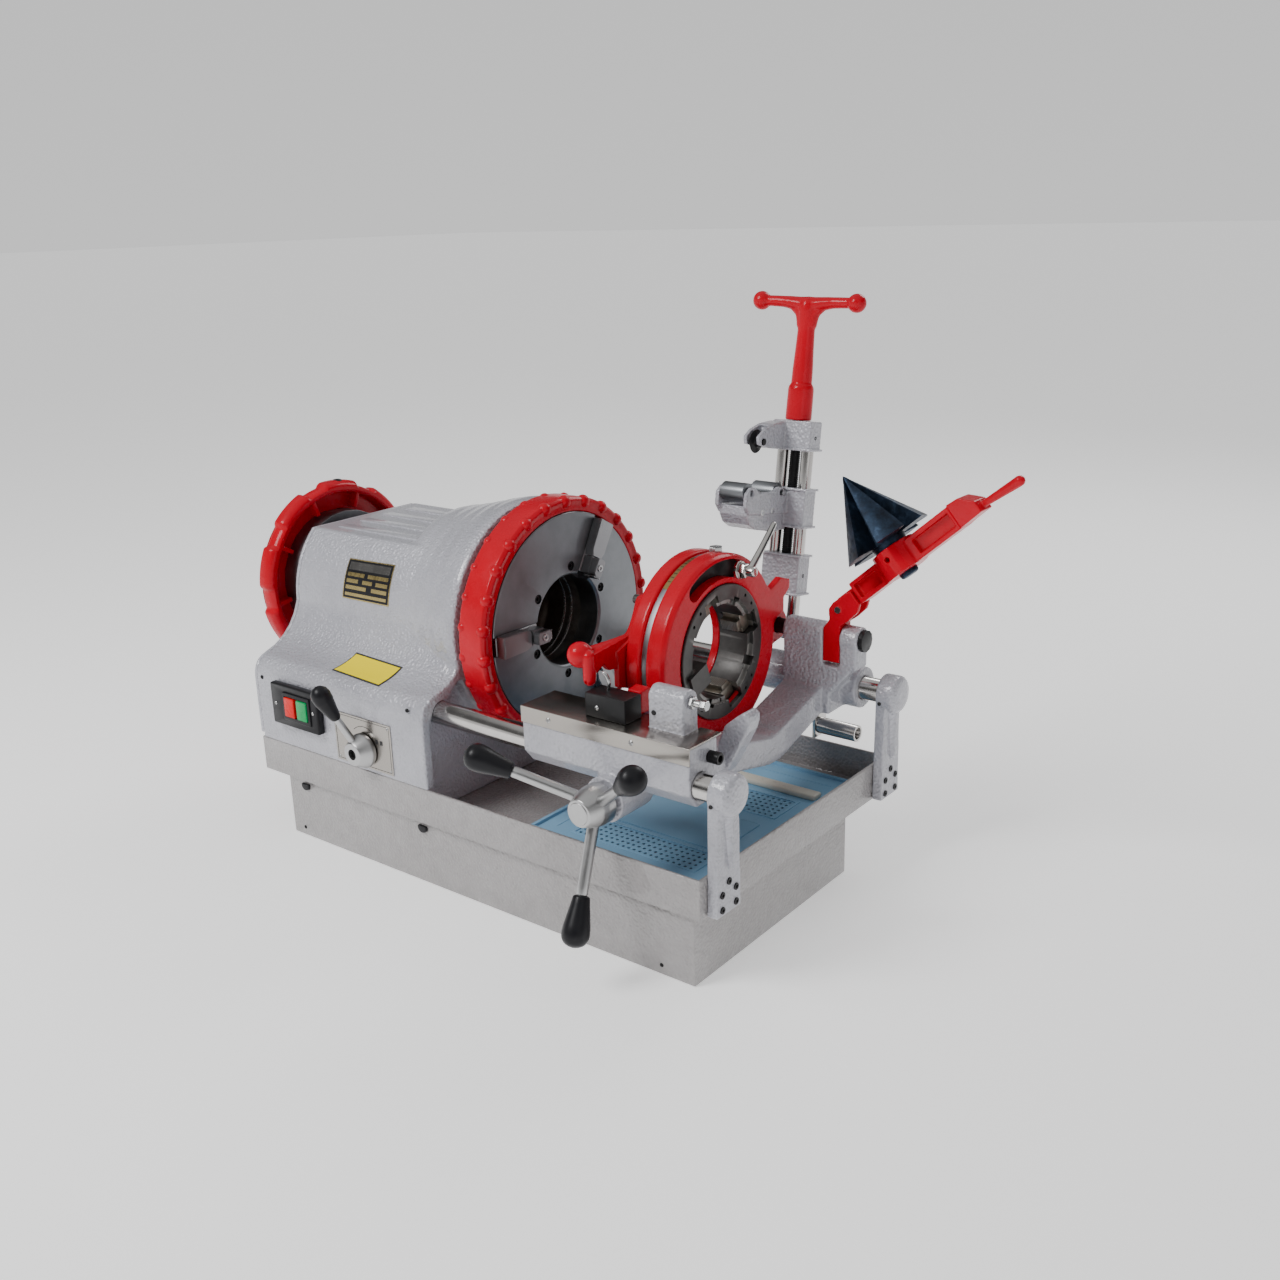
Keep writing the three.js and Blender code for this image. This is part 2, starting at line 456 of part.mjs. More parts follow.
// ---- die head --------------------------------------------------------------------------------
function makeDieHead() {
  const head = assembly('die_head', machine, [0, 0, SPINDLE_Z]);
  const dz = PIVOT.z - SPINDLE_Z;
  const camSeat = CAM_R + 3 * GAP;
  const recess = DIE.face - 3;
  const shell = turned('x', [[DIE.x0, camSeat], [DIE.x0, DIE.r], [DIE.band0, DIE.r], [DIE.band0, DIE.bandR],
    [DIE.band1, DIE.bandR], [DIE.band1, DIE.r], [DIE.face - 4, DIE.r], [DIE.face, DIE.r - 3],
    [DIE.face, CORE.flangeR + 2 * GAP], [recess, CORE.flangeR + 2 * GAP], [recess, CORE.r + GAP],
    [CORE.x0, CORE.r + GAP], [CORE.x0, camSeat]], 48);
  const arm = slab('x', [[84, -48], [PIVOT.y, dz - 21], [PIVOT.y, dz + 21], [84, 60]], 202, 226);
  const hub = rod('x', 21, 200, 227.5, 20).translate([0, PIVOT.y, dz]);
  const claw = slab('x', [[96, 62], [107, 52], [131, 62], [152, 55], [152, 44], [138, 34], [138, 16], [100, 8]],
    232, DIE.face);
  const foot = slab('x', [[-86, -60], [-136, -4], [-152, -6], [-154, -32.2], [-137, -32.2], [-104, -72]],
    216, 236);
  const slot = new THREE.Shape();
  slot.absarc(0, 0, 112, degrees(58), degrees(128), false);
  slot.absarc(0, 0, 90, degrees(128), degrees(58), true);
  const cavity = rod('x', 87, 204, 234, 48);
  const body = cut(join(shell, arm, hub, claw, foot), slab('x', slot, 222, 245), cavity,
    rod('x', PIVOT.r + 3 * GAP, 190, 250).translate([0, PIVOT.y, dz]));
  place('die_head_body', body, RED, head);

  let core = join(pipe('x', CORE.r, CORE.bore, CORE.x0 + GAP, recess + 1, 24),
    pipe('x', CORE.flangeR, CORE.flangeBore, recess + GAP, DIE.x1, 24));
  const angles = around(DIE.chasers, 20);
  for (const angle of angles) core = cut(core, radialSlot(206, 244, 27, 40, 74, angle));
  for (const angle of around(DIE.chasers, 65)) core = cut(core, radialSlot(236, 244, 12, 50, 68, angle));
  place('die_head_core', core, DARK_STEEL, head);
  const chaser = join(box(207, 232, 57, 78.5, -13, 13), box(207, 232, 49, 58, -7, 7));
  angles.forEach((angle, i) => {
    const seat = assembly(`chaser_seat_${i + 1}`, head);
    seat.rotation.x = degrees(angle);
    place(`chaser_${i + 1}`, chaser, BRONZE, seat);
  });

  const cam = join(pipe('x', CAM_R, CORE.bore, DIE.x0 - 0.8, CORE.x0 - 0.6, 48),
    rod('x', 5.5, 158, 188).translate([0, -60, 68]));
  const knob = [164, -170, 343 - SPINDLE_Z];
  const leg = [178, -171];
  const elbow = [176, -94, 31];
  const lever = join(
    cam,
    ball(knob, 15),
    strut(knob, elbow, 6, 7.5),
    strut(elbow, [176, -68, 70], 8, 9.5),
    slab('x', [[-56, 62], [-82, 78], [-96, 38], [-128, 26], [-128, -18], [-98, -28], [-74, 0]], 178, 185.6),
    slab('x', [[-177, 8], [-174, 32], [-96, 38], [-122, 4], [-140, 6], [-150, 16], [-164, 8]], 173, 183),
    rod('z', 7.5, -4.4, 30).translate([leg[0], leg[1], 0]));
  place('cam_and_throw_lever', lever, RED, head);

  const stud = [0, 100 * Math.cos(degrees(70)), 100 * Math.sin(degrees(70))];
  const clamp = assembly('clamp', head, stud);
  const grip = join(rod('x', 11, DIE.face + GAP, 246), rod('x', 8, 245.9, 261, 6), rod('x', 5, 260, 267),
    strut([257, 2, 2], [257, 54, 46], 4.5, 3.6));
  place('clamp_lever', grip, CHROME, clamp);
}

// ---- pipe cutter -----------------------------------------------------------------------------
function makeCutter() {
  const cutter = assembly('cutter', machine, [0, PIVOT.y, PIVOT.z]);
  cutter.rotation.x = degrees(-CUTTER.lean);
  const back = CUTTER.offset;
  const rodXs = [CUTTER.x - CUTTER.spread, CUTTER.x + CUTTER.spread];
  const columnHoles = (extra, screwExtra) => [
    ...rodXs.map((x) => rod('z', CUTTER.rodR + extra, -40, 300).translate([x, back, 0])),
    rod('z', CUTTER.screwR + screwExtra, -40, 300).translate([CUTTER.x, back, 0])];
  const column = (z0, z1) => box(CUTTER.x - 28, CUTTER.x + 28, back - 14, back + 14, z0, z1);

  const hub = rod('x', 18, 168, 199, 20);
  const web = slab('x', [[0, -18], [30, -26], [back + 14, -20], [back + 14, 40], [back - 14, 40], [10, 16]],
    168, 186);
  const yoke = cut(join(hub, web, column(-24, 2), column(34, 86)), ...columnHoles(GAP, GAP),
    rod('x', PIVOT.r + 3 * GAP, 150, 240), box(186.5, 240, -30, back - 16, -40, 30));
  place('cutter_yoke', yoke, HAMMERTONE, cutter);
  rodXs.forEach((x, i) => {
    const name = ['cutter_rod_left', 'cutter_rod_right'][i];
    place(name, rod('z', CUTTER.rodR, -24, 259).translate([x, back, 0]), CHROME, cutter);
  });

  const wheelAt = [CUTTER.jawX, CUTTER.pipeY + 1, 230];
  const jaw = slab('x', [[36, 221], [36, 257], [10, 253], [-12, 245], [-24, 236], [-22, 226], [2, 222]],
    166, 190);
  const head = cut(join(column(221, 259), jaw), ...columnHoles(GAP, GAP),
    box(171, 185, -40, 6, 200, 250), rod('x', 4 + GAP, 150, 200, 16).translate([0, wheelAt[1], wheelAt[2]]));
  place('cutter_head', head, HAMMERTONE, cutter);
  const wheel = turned('x', [[-13, 0], [-13, 4], [-6.5, 4], [-6.5, 6.5], [-1.5, 7.5], [0, 15], [1.5, 7.5],
    [6.5, 6.5], [6.5, 4], [13, 4], [13, 0]], 16);
  place('cutter_wheel', wheel, BLACK, cutter, wheelAt);

  const cheek = [[36, 140], [36, 164], [24, 174], [14, 174], [2, 168], [-30, 168], [-40, 174], [-50, 174],
    [-59, 166], [-59, 150], [-50, 140]];
  const bed = slab('x', [[back + 14, 122], [back + 14, 150], [-52, 150], [-51, 138], [-43, 127], [-28, 120],
    [16, 116], [36, 118]], 157, 199);
  const rollerYs = [CUTTER.pipeY - 35, CUTTER.pipeY + 35];
  const rollerZ = 167;
  const slider = cut(
    join(column(122, 172), bed, slab('x', cheek, 154, 159.5), slab('x', cheek, 196.5, 202)),
    ...columnHoles(GAP, GAP),
    box(159.5, 196.5, -70, 34.5, 150, 200),
    ...rollerYs.map((y) => rod('x', 4 + GAP, 140, 210, 16).translate([0, y, rollerZ])));
  place('roller_slider', slider, HAMMERTONE, cutter);
  rollerYs.forEach((y, i) => {
    const roller = turned('x', [[-21, 0], [-21, 4], [-17.5, 4], [-17.5, 12], [17.5, 12], [17.5, 4], [21, 4],
      [21, 0]], 16);
    place(`cutter_roller_${i + 1}`, roller, STEEL, cutter, [CUTTER.jawX, y, rollerZ]);
  });

  const top = 408;
  const screw = assembly('cutter_screw', cutter, [CUTTER.x, back, 0]);
  screw.rotation.z = degrees(6);
  const handle = join(
    rod('z', CUTTER.screwR, 78, 262),
    rod('z', 17, 259 + GAP, 306),
    turned('z', [[305, 0], [305, 13.5], [340, 12.5], [378, 11], [392, 12], [top + 6, 9], [top + 7, 0]], 16),
    strut([-66, 0, top], [0, 0, top - 3], 7, 10.5),
    strut([66, 0, top], [0, 0, top - 3], 7, 10.5),
    ball([-66, 0, top], 12), ball([66, 0, top], 12));
  place('cutter_screw_handle', handle, RED, screw);
}

// ---- reamer ----------------------------------------------------------------------------------
function pyramid(outline, height) {
  const positions = outline.flatMap(([x, y]) => [x, y, 0]).concat([0, 0, 0, 0, 0, height]);
  const n = outline.length;
  const index = outline.flatMap((_, i) => [i, (i + 1) % n, n + 1, (i + 1) % n, i, n]);
  const geometry = new THREE.BufferGeometry();
  geometry.setAttribute('position', new THREE.Float32BufferAttribute(positions, 3));
  geometry.setIndex(index);
  return solid(geometry);
}

function makeReamer() {
  const hingeZ = PIVOT.z + REAMER.rise;
  const tongue = slab('y', [[UPRIGHT.slot0 + GAP, 276], [UPRIGHT.slot1 - GAP, 276], [UPRIGHT.slot1 - GAP, 324],
    [337, 333], [349, 345], [352, 356], [338.7, 371], [315, 353], [309, 344], [310, 330],
    [UPRIGHT.slot0 + GAP, 318]], PIVOT.y - 14, PIVOT.y + 14);
  const gapForTang = box(280, 360, PIVOT.y - 8 - GAP, PIVOT.y + 8 + GAP, 331, 380);
  const pin = rod('y', 5, PIVOT.y - 15, PIVOT.y + 15).translate([REAMER.x, 0, hingeZ]);
  const link = join(cut(tongue, gapForTang, rod('x', PIVOT.r + 3 * GAP, 290, 340)
    .translate([0, PIVOT.y, PIVOT.z])), pin);
  place('reamer_link', link, RED);

  const reamer = assembly('reamer', machine, [REAMER.x, PIVOT.y, hingeZ]);
  reamer.rotation.y = degrees(-REAMER.angle);
  const eye = rod('y', 11, -8, 8);
  const bars = join(
    box(4, 34, -8, 8, -10, 12),
    box(33, 82, -13, 13, -11.5, 17.5),
    rod('z', 28, -12, 22, 20).translate([REAMER.cone, 0, 0]),
    box(126, 200, -13, 13, -11.5, 18.5),
    slab('y', [[199, -11], [231, -10], [231, 4], [216, 18.5], [199, 20]], -15, 15));
  const pockets = [[38, 74], [138, 194]].flatMap(([x0, x1]) => [
    box(x0, x1, -20, -6, -6, 12.5), box(x0, x1, 6, 20, -6, 12.5)]);
  const handle = strut([229, 0, -3], [282, 0, -7], 4.2, 6.5);
  const arm = cut(join(eye, bars, handle, ball([282, 0, -7], 6.5)), ...pockets,
    rod('y', 5 + 2 * GAP, -20, 20), rod('z', 12 + GAP, -30, 30).translate([REAMER.cone, 0, 0]),
    rod('y', 3.5, -40, -15, 12).translate([REAMER.cone, 0, 10]));
  place('reamer_arm', arm, RED, reamer);
  const flutes = around(12).map((angle, i) => {
    const r = i % 2 ? REAMER.coneR : REAMER.coneR * 0.62;
    return [r * Math.cos(degrees(angle)), r * Math.sin(degrees(angle))];
  });
  const cone = join(
    pyramid(flutes, 96).translate([REAMER.cone, 0, 30]),
    rod('z', 22, 22 + GAP, 31).translate([REAMER.cone, 0, 0]),
    rod('z', 12, -13, 23).translate([REAMER.cone, 0, 0]),
    rod('z', 18, -19, -12 - GAP).translate([REAMER.cone, 0, 0]));
  place('reamer_cone', cone, BLUED, reamer);
}

makeBase();
makeTray();
makeHeadstock();
makeSwitch();
makeSelector();
makeDrive();
makeSpindle();
makeRails();
makeCarriage();
makeFeed();
makeDieHead();
makeCutter();
makeReamer();

export default machine;
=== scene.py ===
"""Pipe threading machine: the visual model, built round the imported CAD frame."""
import json
import math

import bmesh
import bpy
from mathutils import Matrix, Vector
from mathutils.bvhtree import BVHTree


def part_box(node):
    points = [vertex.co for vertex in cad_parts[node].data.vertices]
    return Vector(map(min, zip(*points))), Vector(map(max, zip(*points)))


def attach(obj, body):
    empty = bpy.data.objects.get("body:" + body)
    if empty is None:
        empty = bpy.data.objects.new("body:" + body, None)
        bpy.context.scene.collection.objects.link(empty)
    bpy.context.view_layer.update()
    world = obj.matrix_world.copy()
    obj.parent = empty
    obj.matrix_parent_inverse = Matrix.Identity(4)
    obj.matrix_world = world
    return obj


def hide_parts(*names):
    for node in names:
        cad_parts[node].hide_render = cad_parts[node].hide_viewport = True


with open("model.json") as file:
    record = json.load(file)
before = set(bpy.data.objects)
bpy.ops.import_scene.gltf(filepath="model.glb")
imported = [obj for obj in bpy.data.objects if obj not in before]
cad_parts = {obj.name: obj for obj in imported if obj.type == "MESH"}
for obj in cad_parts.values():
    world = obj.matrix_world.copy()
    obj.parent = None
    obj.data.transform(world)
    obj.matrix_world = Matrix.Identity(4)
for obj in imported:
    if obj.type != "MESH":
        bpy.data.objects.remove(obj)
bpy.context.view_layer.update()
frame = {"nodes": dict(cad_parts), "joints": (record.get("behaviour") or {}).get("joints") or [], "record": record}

MM = 0.001
X, Y, Z = Vector((1, 0, 0)), Vector((0, 1, 0)), Vector((0, 0, 1))

# ---- places taken from the frame, in millimetres -------------------------------------------------


def low(node):
    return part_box(node)[0] / MM


def high(node):
    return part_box(node)[1] / MM


def middle(node):
    return (low(node) + high(node)) / 2


JOINTS = {joint["name"]: joint for joint in frame["joints"]}


def pivot(joint):
    return Vector(JOINTS[joint]["pos_m"]) / MM


SPINDLE = pivot("spindle_spin")
FRONT_Y = -217.0  # the headstock's front wall
RAIL_HOLE = 15.3  # radius of a rail's hole; the rail's own is 15
SHAFT = pivot("die_head_swing")
# the cutter leans back 9 degrees about the shaft
LEANING = Matrix.Translation((0, SHAFT.y, SHAFT.z)) @ Matrix.Rotation(math.radians(-9), 4, "X")
# angles round the spindle, from +Y towards +Z
JAW_ANGLES = (180, 300, 60)
CHASER_ANGLES = (20, 110, 200, 290)

# ---- camera, floor and light ---------------------------------------------------------------------


def fill_ramp(node, stops):
    """Sets a colour ramp; a stop is a place with a grey or a colour."""
    elements = node.color_ramp.elements
    elements[0].position, elements[1].position = stops[0][0], stops[-1][0]
    for place, _ in stops[1:-1]:
        elements.new(place)
    for element, (_, colour) in zip(elements, stops):
        shade = (colour,) * 3 if isinstance(colour, float) else colour
        element.color = (*shade, 1)


def make_camera():
    data = bpy.data.cameras.new("camera")
    camera = bpy.data.objects.new("camera", data)
    bpy.context.scene.collection.objects.link(camera)
    azimuth, elevation, roll = (math.radians(a) for a in (38.05, 17.91, -1.6))
    back = Vector((math.sin(azimuth) * math.cos(elevation), -math.cos(azimuth) * math.cos(elevation),
                   math.sin(elevation)))
    right = (-back).cross(Z).normalized()
    up = right.cross(-back)
    turned_right = right * math.cos(roll) + up * math.sin(roll)
    turned_up = -right * math.sin(roll) + up * math.cos(roll)
    camera.matrix_world = Matrix.Translation((1.1104, -1.2501, 0.8215)) @ Matrix(
        (turned_right, turned_up, back)).transposed().to_4x4()
    data.lens = 37.7
    data.sensor_width = 36
    data.shift_x = -0.0079
    data.clip_start = 0.05
    data.clip_end = 150
    bpy.context.scene.camera = camera


def make_light(name, position, size, power):
    data = bpy.data.lights.new(name, "AREA")
    data.shape = "DISK"
    data.size = size
    data.energy = power
    lamp = bpy.data.objects.new(name, data)
    lamp.location = position
    lamp.rotation_euler = (Vector((0, 0, 0.3)) - Vector(position)).to_track_quat("-Z", "Y").to_euler()
    bpy.context.scene.collection.objects.link(lamp)


def make_stage():
    mesh = bpy.data.meshes.new("floor")
    reach = 40.0
    mesh.from_pydata([(-reach, -reach, 0), (reach, -reach, 0), (reach, reach, 0), (-reach, reach, 0)], [],
                     [(0, 1, 2, 3)])
    floor = bpy.data.objects.new("floor", mesh)
    floor.location.z = -0.0005
    bpy.context.scene.collection.objects.link(floor)
    material = bpy.data.materials.new("pale_floor")
    material.use_nodes = True
    shader = material.node_tree.nodes["Principled BSDF"]
    shader.inputs["Base Color"].default_value = (0.93, 0.93, 0.93, 1)
    shader.inputs["Roughness"].default_value = 0.9
    shader.inputs["Specular IOR Level"].default_value = 0.1
    shader.inputs["Emission Color"].default_value = (1, 1, 1, 1)
    shader.inputs["Emission Strength"].default_value = 0.5
    mesh.materials.append(material)
    make_light("key", (-0.9, -2.0, 2.4), 1.3, 62)
    make_light("fill", (2.4, -1.0, 1.4), 1.6, 3)
    make_light("rim", (0.3, 2.2, 2.0), 1.2, 20)
    world = bpy.data.worlds.new("studio")
    bpy.context.scene.world = world
    world.use_nodes = True
    tree = world.node_tree
    background = tree.nodes["Background"]
    coordinates = tree.nodes.new("ShaderNodeTexCoord")
    split = tree.nodes.new("ShaderNodeSeparateXYZ")
    ramp = tree.nodes.new("ShaderNodeValToRGB")
    tree.links.new(coordinates.outputs["Generated"], split.inputs[0])
    tree.links.new(split.outputs["Z"], ramp.inputs[0])
    fill_ramp(ramp, [(0.0, 0.9), (0.14, 0.85), (0.24, 0.12), (0.52, 0.1), (0.8, 0.7)])
    tree.links.new(ramp.outputs[0], background.inputs["Color"])
    background.inputs["Strength"].default_value = 0.9


# ---- materials -----------------------------------------------------------------------------------


class Finish:
    """A node material: colour, roughness and bump come from textures in object space, in metres."""

    def __init__(self, name, metallic=0.0, coat=0.0, coat_roughness=0.08, specular=0.5):
        self.material = bpy.data.materials.new(name)
        self.material.use_nodes = True
        self.tree = self.material.node_tree
        self.shader = self.tree.nodes["Principled BSDF"]
        for socket, value in (("Metallic", metallic), ("Coat Weight", coat),
                              ("Coat Roughness", coat_roughness), ("Specular IOR Level", specular)):
            self.shader.inputs[socket].default_value = value
        self.place = self.node("ShaderNodeTexCoord").outputs["Object"]
        self.height = None

    def node(self, kind, **values):
        made = self.tree.nodes.new(kind)
        for key, value in values.items():
            setattr(made, key, value)
        return made

    def link(self, source, target):
        self.tree.links.new(source, target)

    def maths(self, operation, a, b):
        made = self.node("ShaderNodeMath", operation=operation)
        for socket, value in zip(made.inputs, (a, b)):
            if isinstance(value, (int, float)):
                socket.default_value = value
            else:
                self.link(value, socket)
        return made.outputs[0]

    def stretched(self, scale, centre=(0, 0, 0)):
        made = self.node("ShaderNodeMapping")
        made.inputs["Location"].default_value = [-c * s for c, s in zip(centre, scale)]
        made.inputs["Scale"].default_value = scale
        self.link(self.place, made.inputs["Vector"])
        return made.outputs[0]

    def noise(self, scale, detail, rough=0.55, vector=None):
        made = self.node("ShaderNodeTexNoise")
        made.inputs["Scale"].default_value = scale
        made.inputs["Detail"].default_value = detail
        made.inputs["Roughness"].default_value = rough
        self.link(vector or self.place, made.inputs["Vector"])
        return made.outputs["Fac"]

    def cells(self, scale):
        made = self.node("ShaderNodeTexVoronoi", feature="SMOOTH_F1")
        made.inputs["Scale"].default_value = scale
        made.inputs["Smoothness"].default_value = 0.6
        self.link(self.place, made.inputs["Vector"])
        return made.outputs["Distance"]

    def radius(self, centre):
        """Distance from an axis along X through centre."""
        flat = self.stretched((0, 1, 1), centre)
        made = self.node("ShaderNodeVectorMath", operation="LENGTH")
        self.link(flat, made.inputs[0])
        return made.outputs["Value"]

    def ramp(self, factor, stops):
        made = self.node("ShaderNodeValToRGB")
        fill_ramp(made, stops)
        self.link(factor, made.inputs[0])
        return made.outputs[0]

    def worn(self, colour, bare, edge=(0.53, 0.58)):
        """Lighter paint or bare metal along sharp convex edges."""
        point = self.node("ShaderNodeNewGeometry").outputs["Pointiness"]
        mask = self.ramp(point, [(edge[0], 0.0), (edge[1], 1.0)])
        patchy = self.maths("MULTIPLY", mask, self.noise(60, 4))
        mix = self.node("ShaderNodeMix", data_type="RGBA")
        self.link(patchy, mix.inputs["Factor"])
        self.link(colour, mix.inputs["A"])
        mix.inputs["B"].default_value = (*bare, 1)
        return mix.outputs["Result"]

    def lined(self, lines, colour, dark, rough, cloud):
        """Metal with fine lines: a cloudy colour, and roughness from cloud and lines."""
        self.colour(self.ramp(cloud, [(0.3, tuple(c * dark for c in colour)), (0.7, colour)]))
        both = self.maths("MULTIPLY", self.maths("ADD", lines, cloud), 0.5)
        self.roughness(self.ramp(both, [(0.35, rough[0]), (0.65, rough[1])]))

    def colour(self, source):
        self.link(source, self.shader.inputs["Base Color"])

    def roughness(self, source):
        self.link(source, self.shader.inputs["Roughness"])

    def bump(self, height, distance, strength):
        made = self.node("ShaderNodeBump")
        made.inputs["Distance"].default_value = distance
        made.inputs["Strength"].default_value = strength
        self.link(height, made.inputs["Height"])
        if self.height:
            self.link(self.height, made.inputs["Normal"])
        self.height = made.outputs[0]
        self.link(self.height, self.shader.inputs["Normal"])


def hammertone(name="hammertone_paint", dark=(0.4, 0.4, 0.442), light=(0.5, 0.5, 0.545)):
    finish = Finish(name, metallic=0.1, coat=0.7, coat_roughness=0.07, specular=0.35)
    base = finish.ramp(finish.noise(9, 4), [(0.3, dark), (0.7, light)])
    finish.colour(finish.worn(base, tuple(c * 1.3 for c in light)))
    finish.roughness(finish.ramp(finish.noise(140, 3), [(0.3, 0.28), (0.7, 0.44)]))
    finish.bump(finish.cells(260), 0.0018, 0.9)
    finish.bump(finish.noise(420, 2), 0.0003, 0.3)
    return finish.material


def red_enamel(name="red_paint", lumps=0.12):
    finish = Finish(name, coat=0.2, coat_roughness=0.05, specular=0.12)
    base = finish.ramp(finish.noise(14, 3), [(0.3, (0.5, 0.0, 0.012)), (0.7, (0.6, 0.0, 0.016))])
    finish.colour(finish.worn(base, (0.6, 0.02, 0.03), (0.56, 0.66)))
    finish.roughness(finish.ramp(finish.noise(70, 4), [(0.3, 0.2), (0.75, 0.36)]))
    finish.bump(finish.noise(60, 3), 0.002, lumps)
    return finish.material


def turned_steel(name, centre, colour, rough):
    """Steel faced on a lathe: fine rings round an axis along X."""
    finish = Finish(name, metallic=1.0)
    rings = finish.node("ShaderNodeCombineXYZ")
    finish.link(finish.maths("MULTIPLY", finish.radius(centre), 1400.0), rings.inputs[0])
    lines = finish.noise(1.0, 2, vector=rings.outputs[0])
    finish.lined(lines, colour, 0.72, rough, finish.noise(22, 4))
    finish.bump(lines, 0.0004, 0.16)
    return finish.material


def drawn_metal(name, colour, rough, scale, dark=0.8, bump=0.1):
    """Ground or rolled metal with lines along one axis."""
    finish = Finish(name, metallic=1.0)
    lines = finish.noise(1.0, 3, vector=finish.stretched(scale))
    finish.lined(lines, colour, dark, rough, finish.noise(30, 4))
    finish.bump(lines, 0.0003, bump)
    return finish.material


def moulded_plastic(name, colour, rough=(0.3, 0.4), grain=900, spread=1.3, specular=0.25):
    finish = Finish(name, specular=specular)
    light = tuple(min(1.0, c * spread + 0.003) for c in colour)
    finish.colour(finish.ramp(finish.noise(40, 4), [(0.3, colour), (0.75, light)]))
    finish.roughness(finish.ramp(finish.noise(120, 3), [(0.3, rough[0]), (0.7, rough[1])]))
    finish.bump(finish.noise(grain, 2), 0.0002, 0.2)
    return finish.material


def oiled_steel(name, colour, rough=(0.3, 0.5), scratch=0.22):
    finish = Finish(name, metallic=0.85)
    cloud = finish.noise(35, 5, 0.65)
    light = tuple(c * 1.9 for c in colour)
    finish.colour(finish.worn(finish.ramp(cloud, [(0.35, colour), (0.8, light)]), (0.45, 0.44, 0.42)))
    finish.roughness(finish.ramp(cloud, [(0.3, rough[0]), (0.7, rough[1])]))
    finish.bump(finish.noise(1.0, 3, vector=finish.stretched((300, 80, 800))), 0.0004, scratch)
    return finish.material


def blued_steel():
    finish = Finish("blued_steel", metallic=0.8)
    cloud = finish.noise(48, 6, 0.7)
    finish.colour(finish.ramp(cloud, [(0.32, (0.008, 0.011, 0.018)), (0.55, (0.02, 0.035, 0.062)),
                                      (0.75, (0.06, 0.1, 0.17))]))
    finish.roughness(finish.ramp(finish.noise(160, 4), [(0.3, 0.3), (0.7, 0.55)]))
    finish.bump(finish.noise(500, 3), 0.0003, 0.35)
    return finish.material


def make_materials():
    return {
        "hammertone_paint": hammertone(),
        "red_paint": red_enamel(),
        "machined_steel": turned_steel("machined_steel", SPINDLE * MM, (0.25, 0.26, 0.275), (0.3, 0.46)),
        "chrome_plate": drawn_metal("chrome_plate", (0.62, 0.6, 0.58), (0.12, 0.22), (700, 20, 20),
                                    0.88, 0.04),
        "dark_steel": oiled_steel("dark_steel", (0.07, 0.068, 0.066)),
        "black_plastic": moulded_plastic("black_plastic", (0.007, 0.007, 0.009)),
        "black_steel": moulded_plastic("black_steel", (0.009, 0.009, 0.01), (0.3, 0.42), 500),
        "bronze": oiled_steel("bronze", (0.13, 0.11, 0.08), (0.28, 0.45), 0.2),
        "stainless_sheet": drawn_metal("stainless_sheet", (0.4, 0.375, 0.345), (0.22, 0.26),
                                       (9, 700, 700), 0.95, 0.03),
        "blued_steel": blued_steel(),
        "screen_enamel": moulded_plastic("screen_enamel", (0.22, 0.42, 0.6), (0.24, 0.27), 900, 1.04),
        "red_plastic": moulded_plastic("red_plastic", (0.65, 0.002, 0.002), (0.25, 0.3)),
        "green_plastic": moulded_plastic("green_plastic", (0.0, 0.32, 0.09), (0.25, 0.3)),
    }


MATERIALS = make_materials()
BLACK_STEEL = MATERIALS["black_steel"]
WARM_GREY = hammertone("warm_hammertone", (0.26, 0.247, 0.245), (0.33, 0.315, 0.315))
LUMPY_RED = red_enamel("lumpy_red", 0.3)
# brown oiled steel for the bore's inside, darkened with painted shade of the deep bore
BORE_PAINTED_SHADE = oiled_steel("bore_painted_shade", (0.12, 0.1, 0.085), (0.28, 0.45))
JAW_STEEL = drawn_metal("jaw_steel", (0.32, 0.32, 0.33), (0.26, 0.36), (200, 60, 60), 0.85, 0.06)
BRUSHED = drawn_metal("brushed_steel", (0.5, 0.5, 0.5), (0.28, 0.36), (300, 300, 300), 0.9, 0.06)
CREAM = moulded_plastic("cream_enamel", (0.6, 0.58, 0.5), (0.25, 0.35), 900, 1.1)
SCALE_BRASS = drawn_metal("scale_brass", (0.45, 0.33, 0.14), (0.25, 0.4), (60, 300, 300))
LABEL_YELLOW = moulded_plastic("label_yellow", (0.95, 0.76, 0.0), (0.5, 0.6), 900, 1.04, 0.05)
SCREW_ZINC = drawn_metal("screw_zinc", (0.55, 0.55, 0.55), (0.22, 0.32), (300, 300, 300))
ENGRAVED = moulded_plastic("engraved_line", (0.03, 0.03, 0.03))
PLATE_GOLD = drawn_metal("plate_gold", (0.6, 0.47, 0.2), (0.2, 0.35), (300, 300, 300))

# ---- mesh building: all sizes in millimetres -----------------------------------------------------


def arc(centre, radius, start, end, steps):
    """Points of an arc in a plane, angles in degrees."""
    angles = [math.radians(start + (end - start) * i / steps) for i in range(steps + 1)]
    return [(centre[0] + radius * math.cos(a), centre[1] + radius * math.sin(a)) for a in angles]


def polar(radius, degrees):
    return radius * math.cos(math.radians(degrees)), radius * math.sin(math.radians(degrees))


def strip(centre, outer, inner, start, end):
    """A curved strip between two radii, angles in degrees."""
    return arc(centre, outer, start, end, 24) + list(reversed(arc(centre, inner, start, end, 24)))


def basis(axis):
    """Two directions across an axis: y, z for x; x, z for y; x, y for z."""
    return {"x": (X, Y, Z), "y": (Y, X, Z), "z": (Z, X, Y)}[axis]


def prism(axis, outline, start, end, origin=(0, 0, 0)):
    """A flat outline extruded along an axis."""
    along, across, up = basis(axis)
    bm = bmesh.new()
    rings = [[bm.verts.new(Vector(origin) + along * a + across * p[0] + up * p[1]) for p in outline]
             for a in (start, end)]
    count = len(outline)
    bm.faces.new(rings[0])
    bm.faces.new(list(reversed(rings[1])))
    for i in range(count):
        j = (i + 1) % count
        bm.faces.new((rings[0][i], rings[1][i], rings[1][j], rings[0][j]))
    bmesh.ops.recalc_face_normals(bm, faces=bm.faces)
    return bm


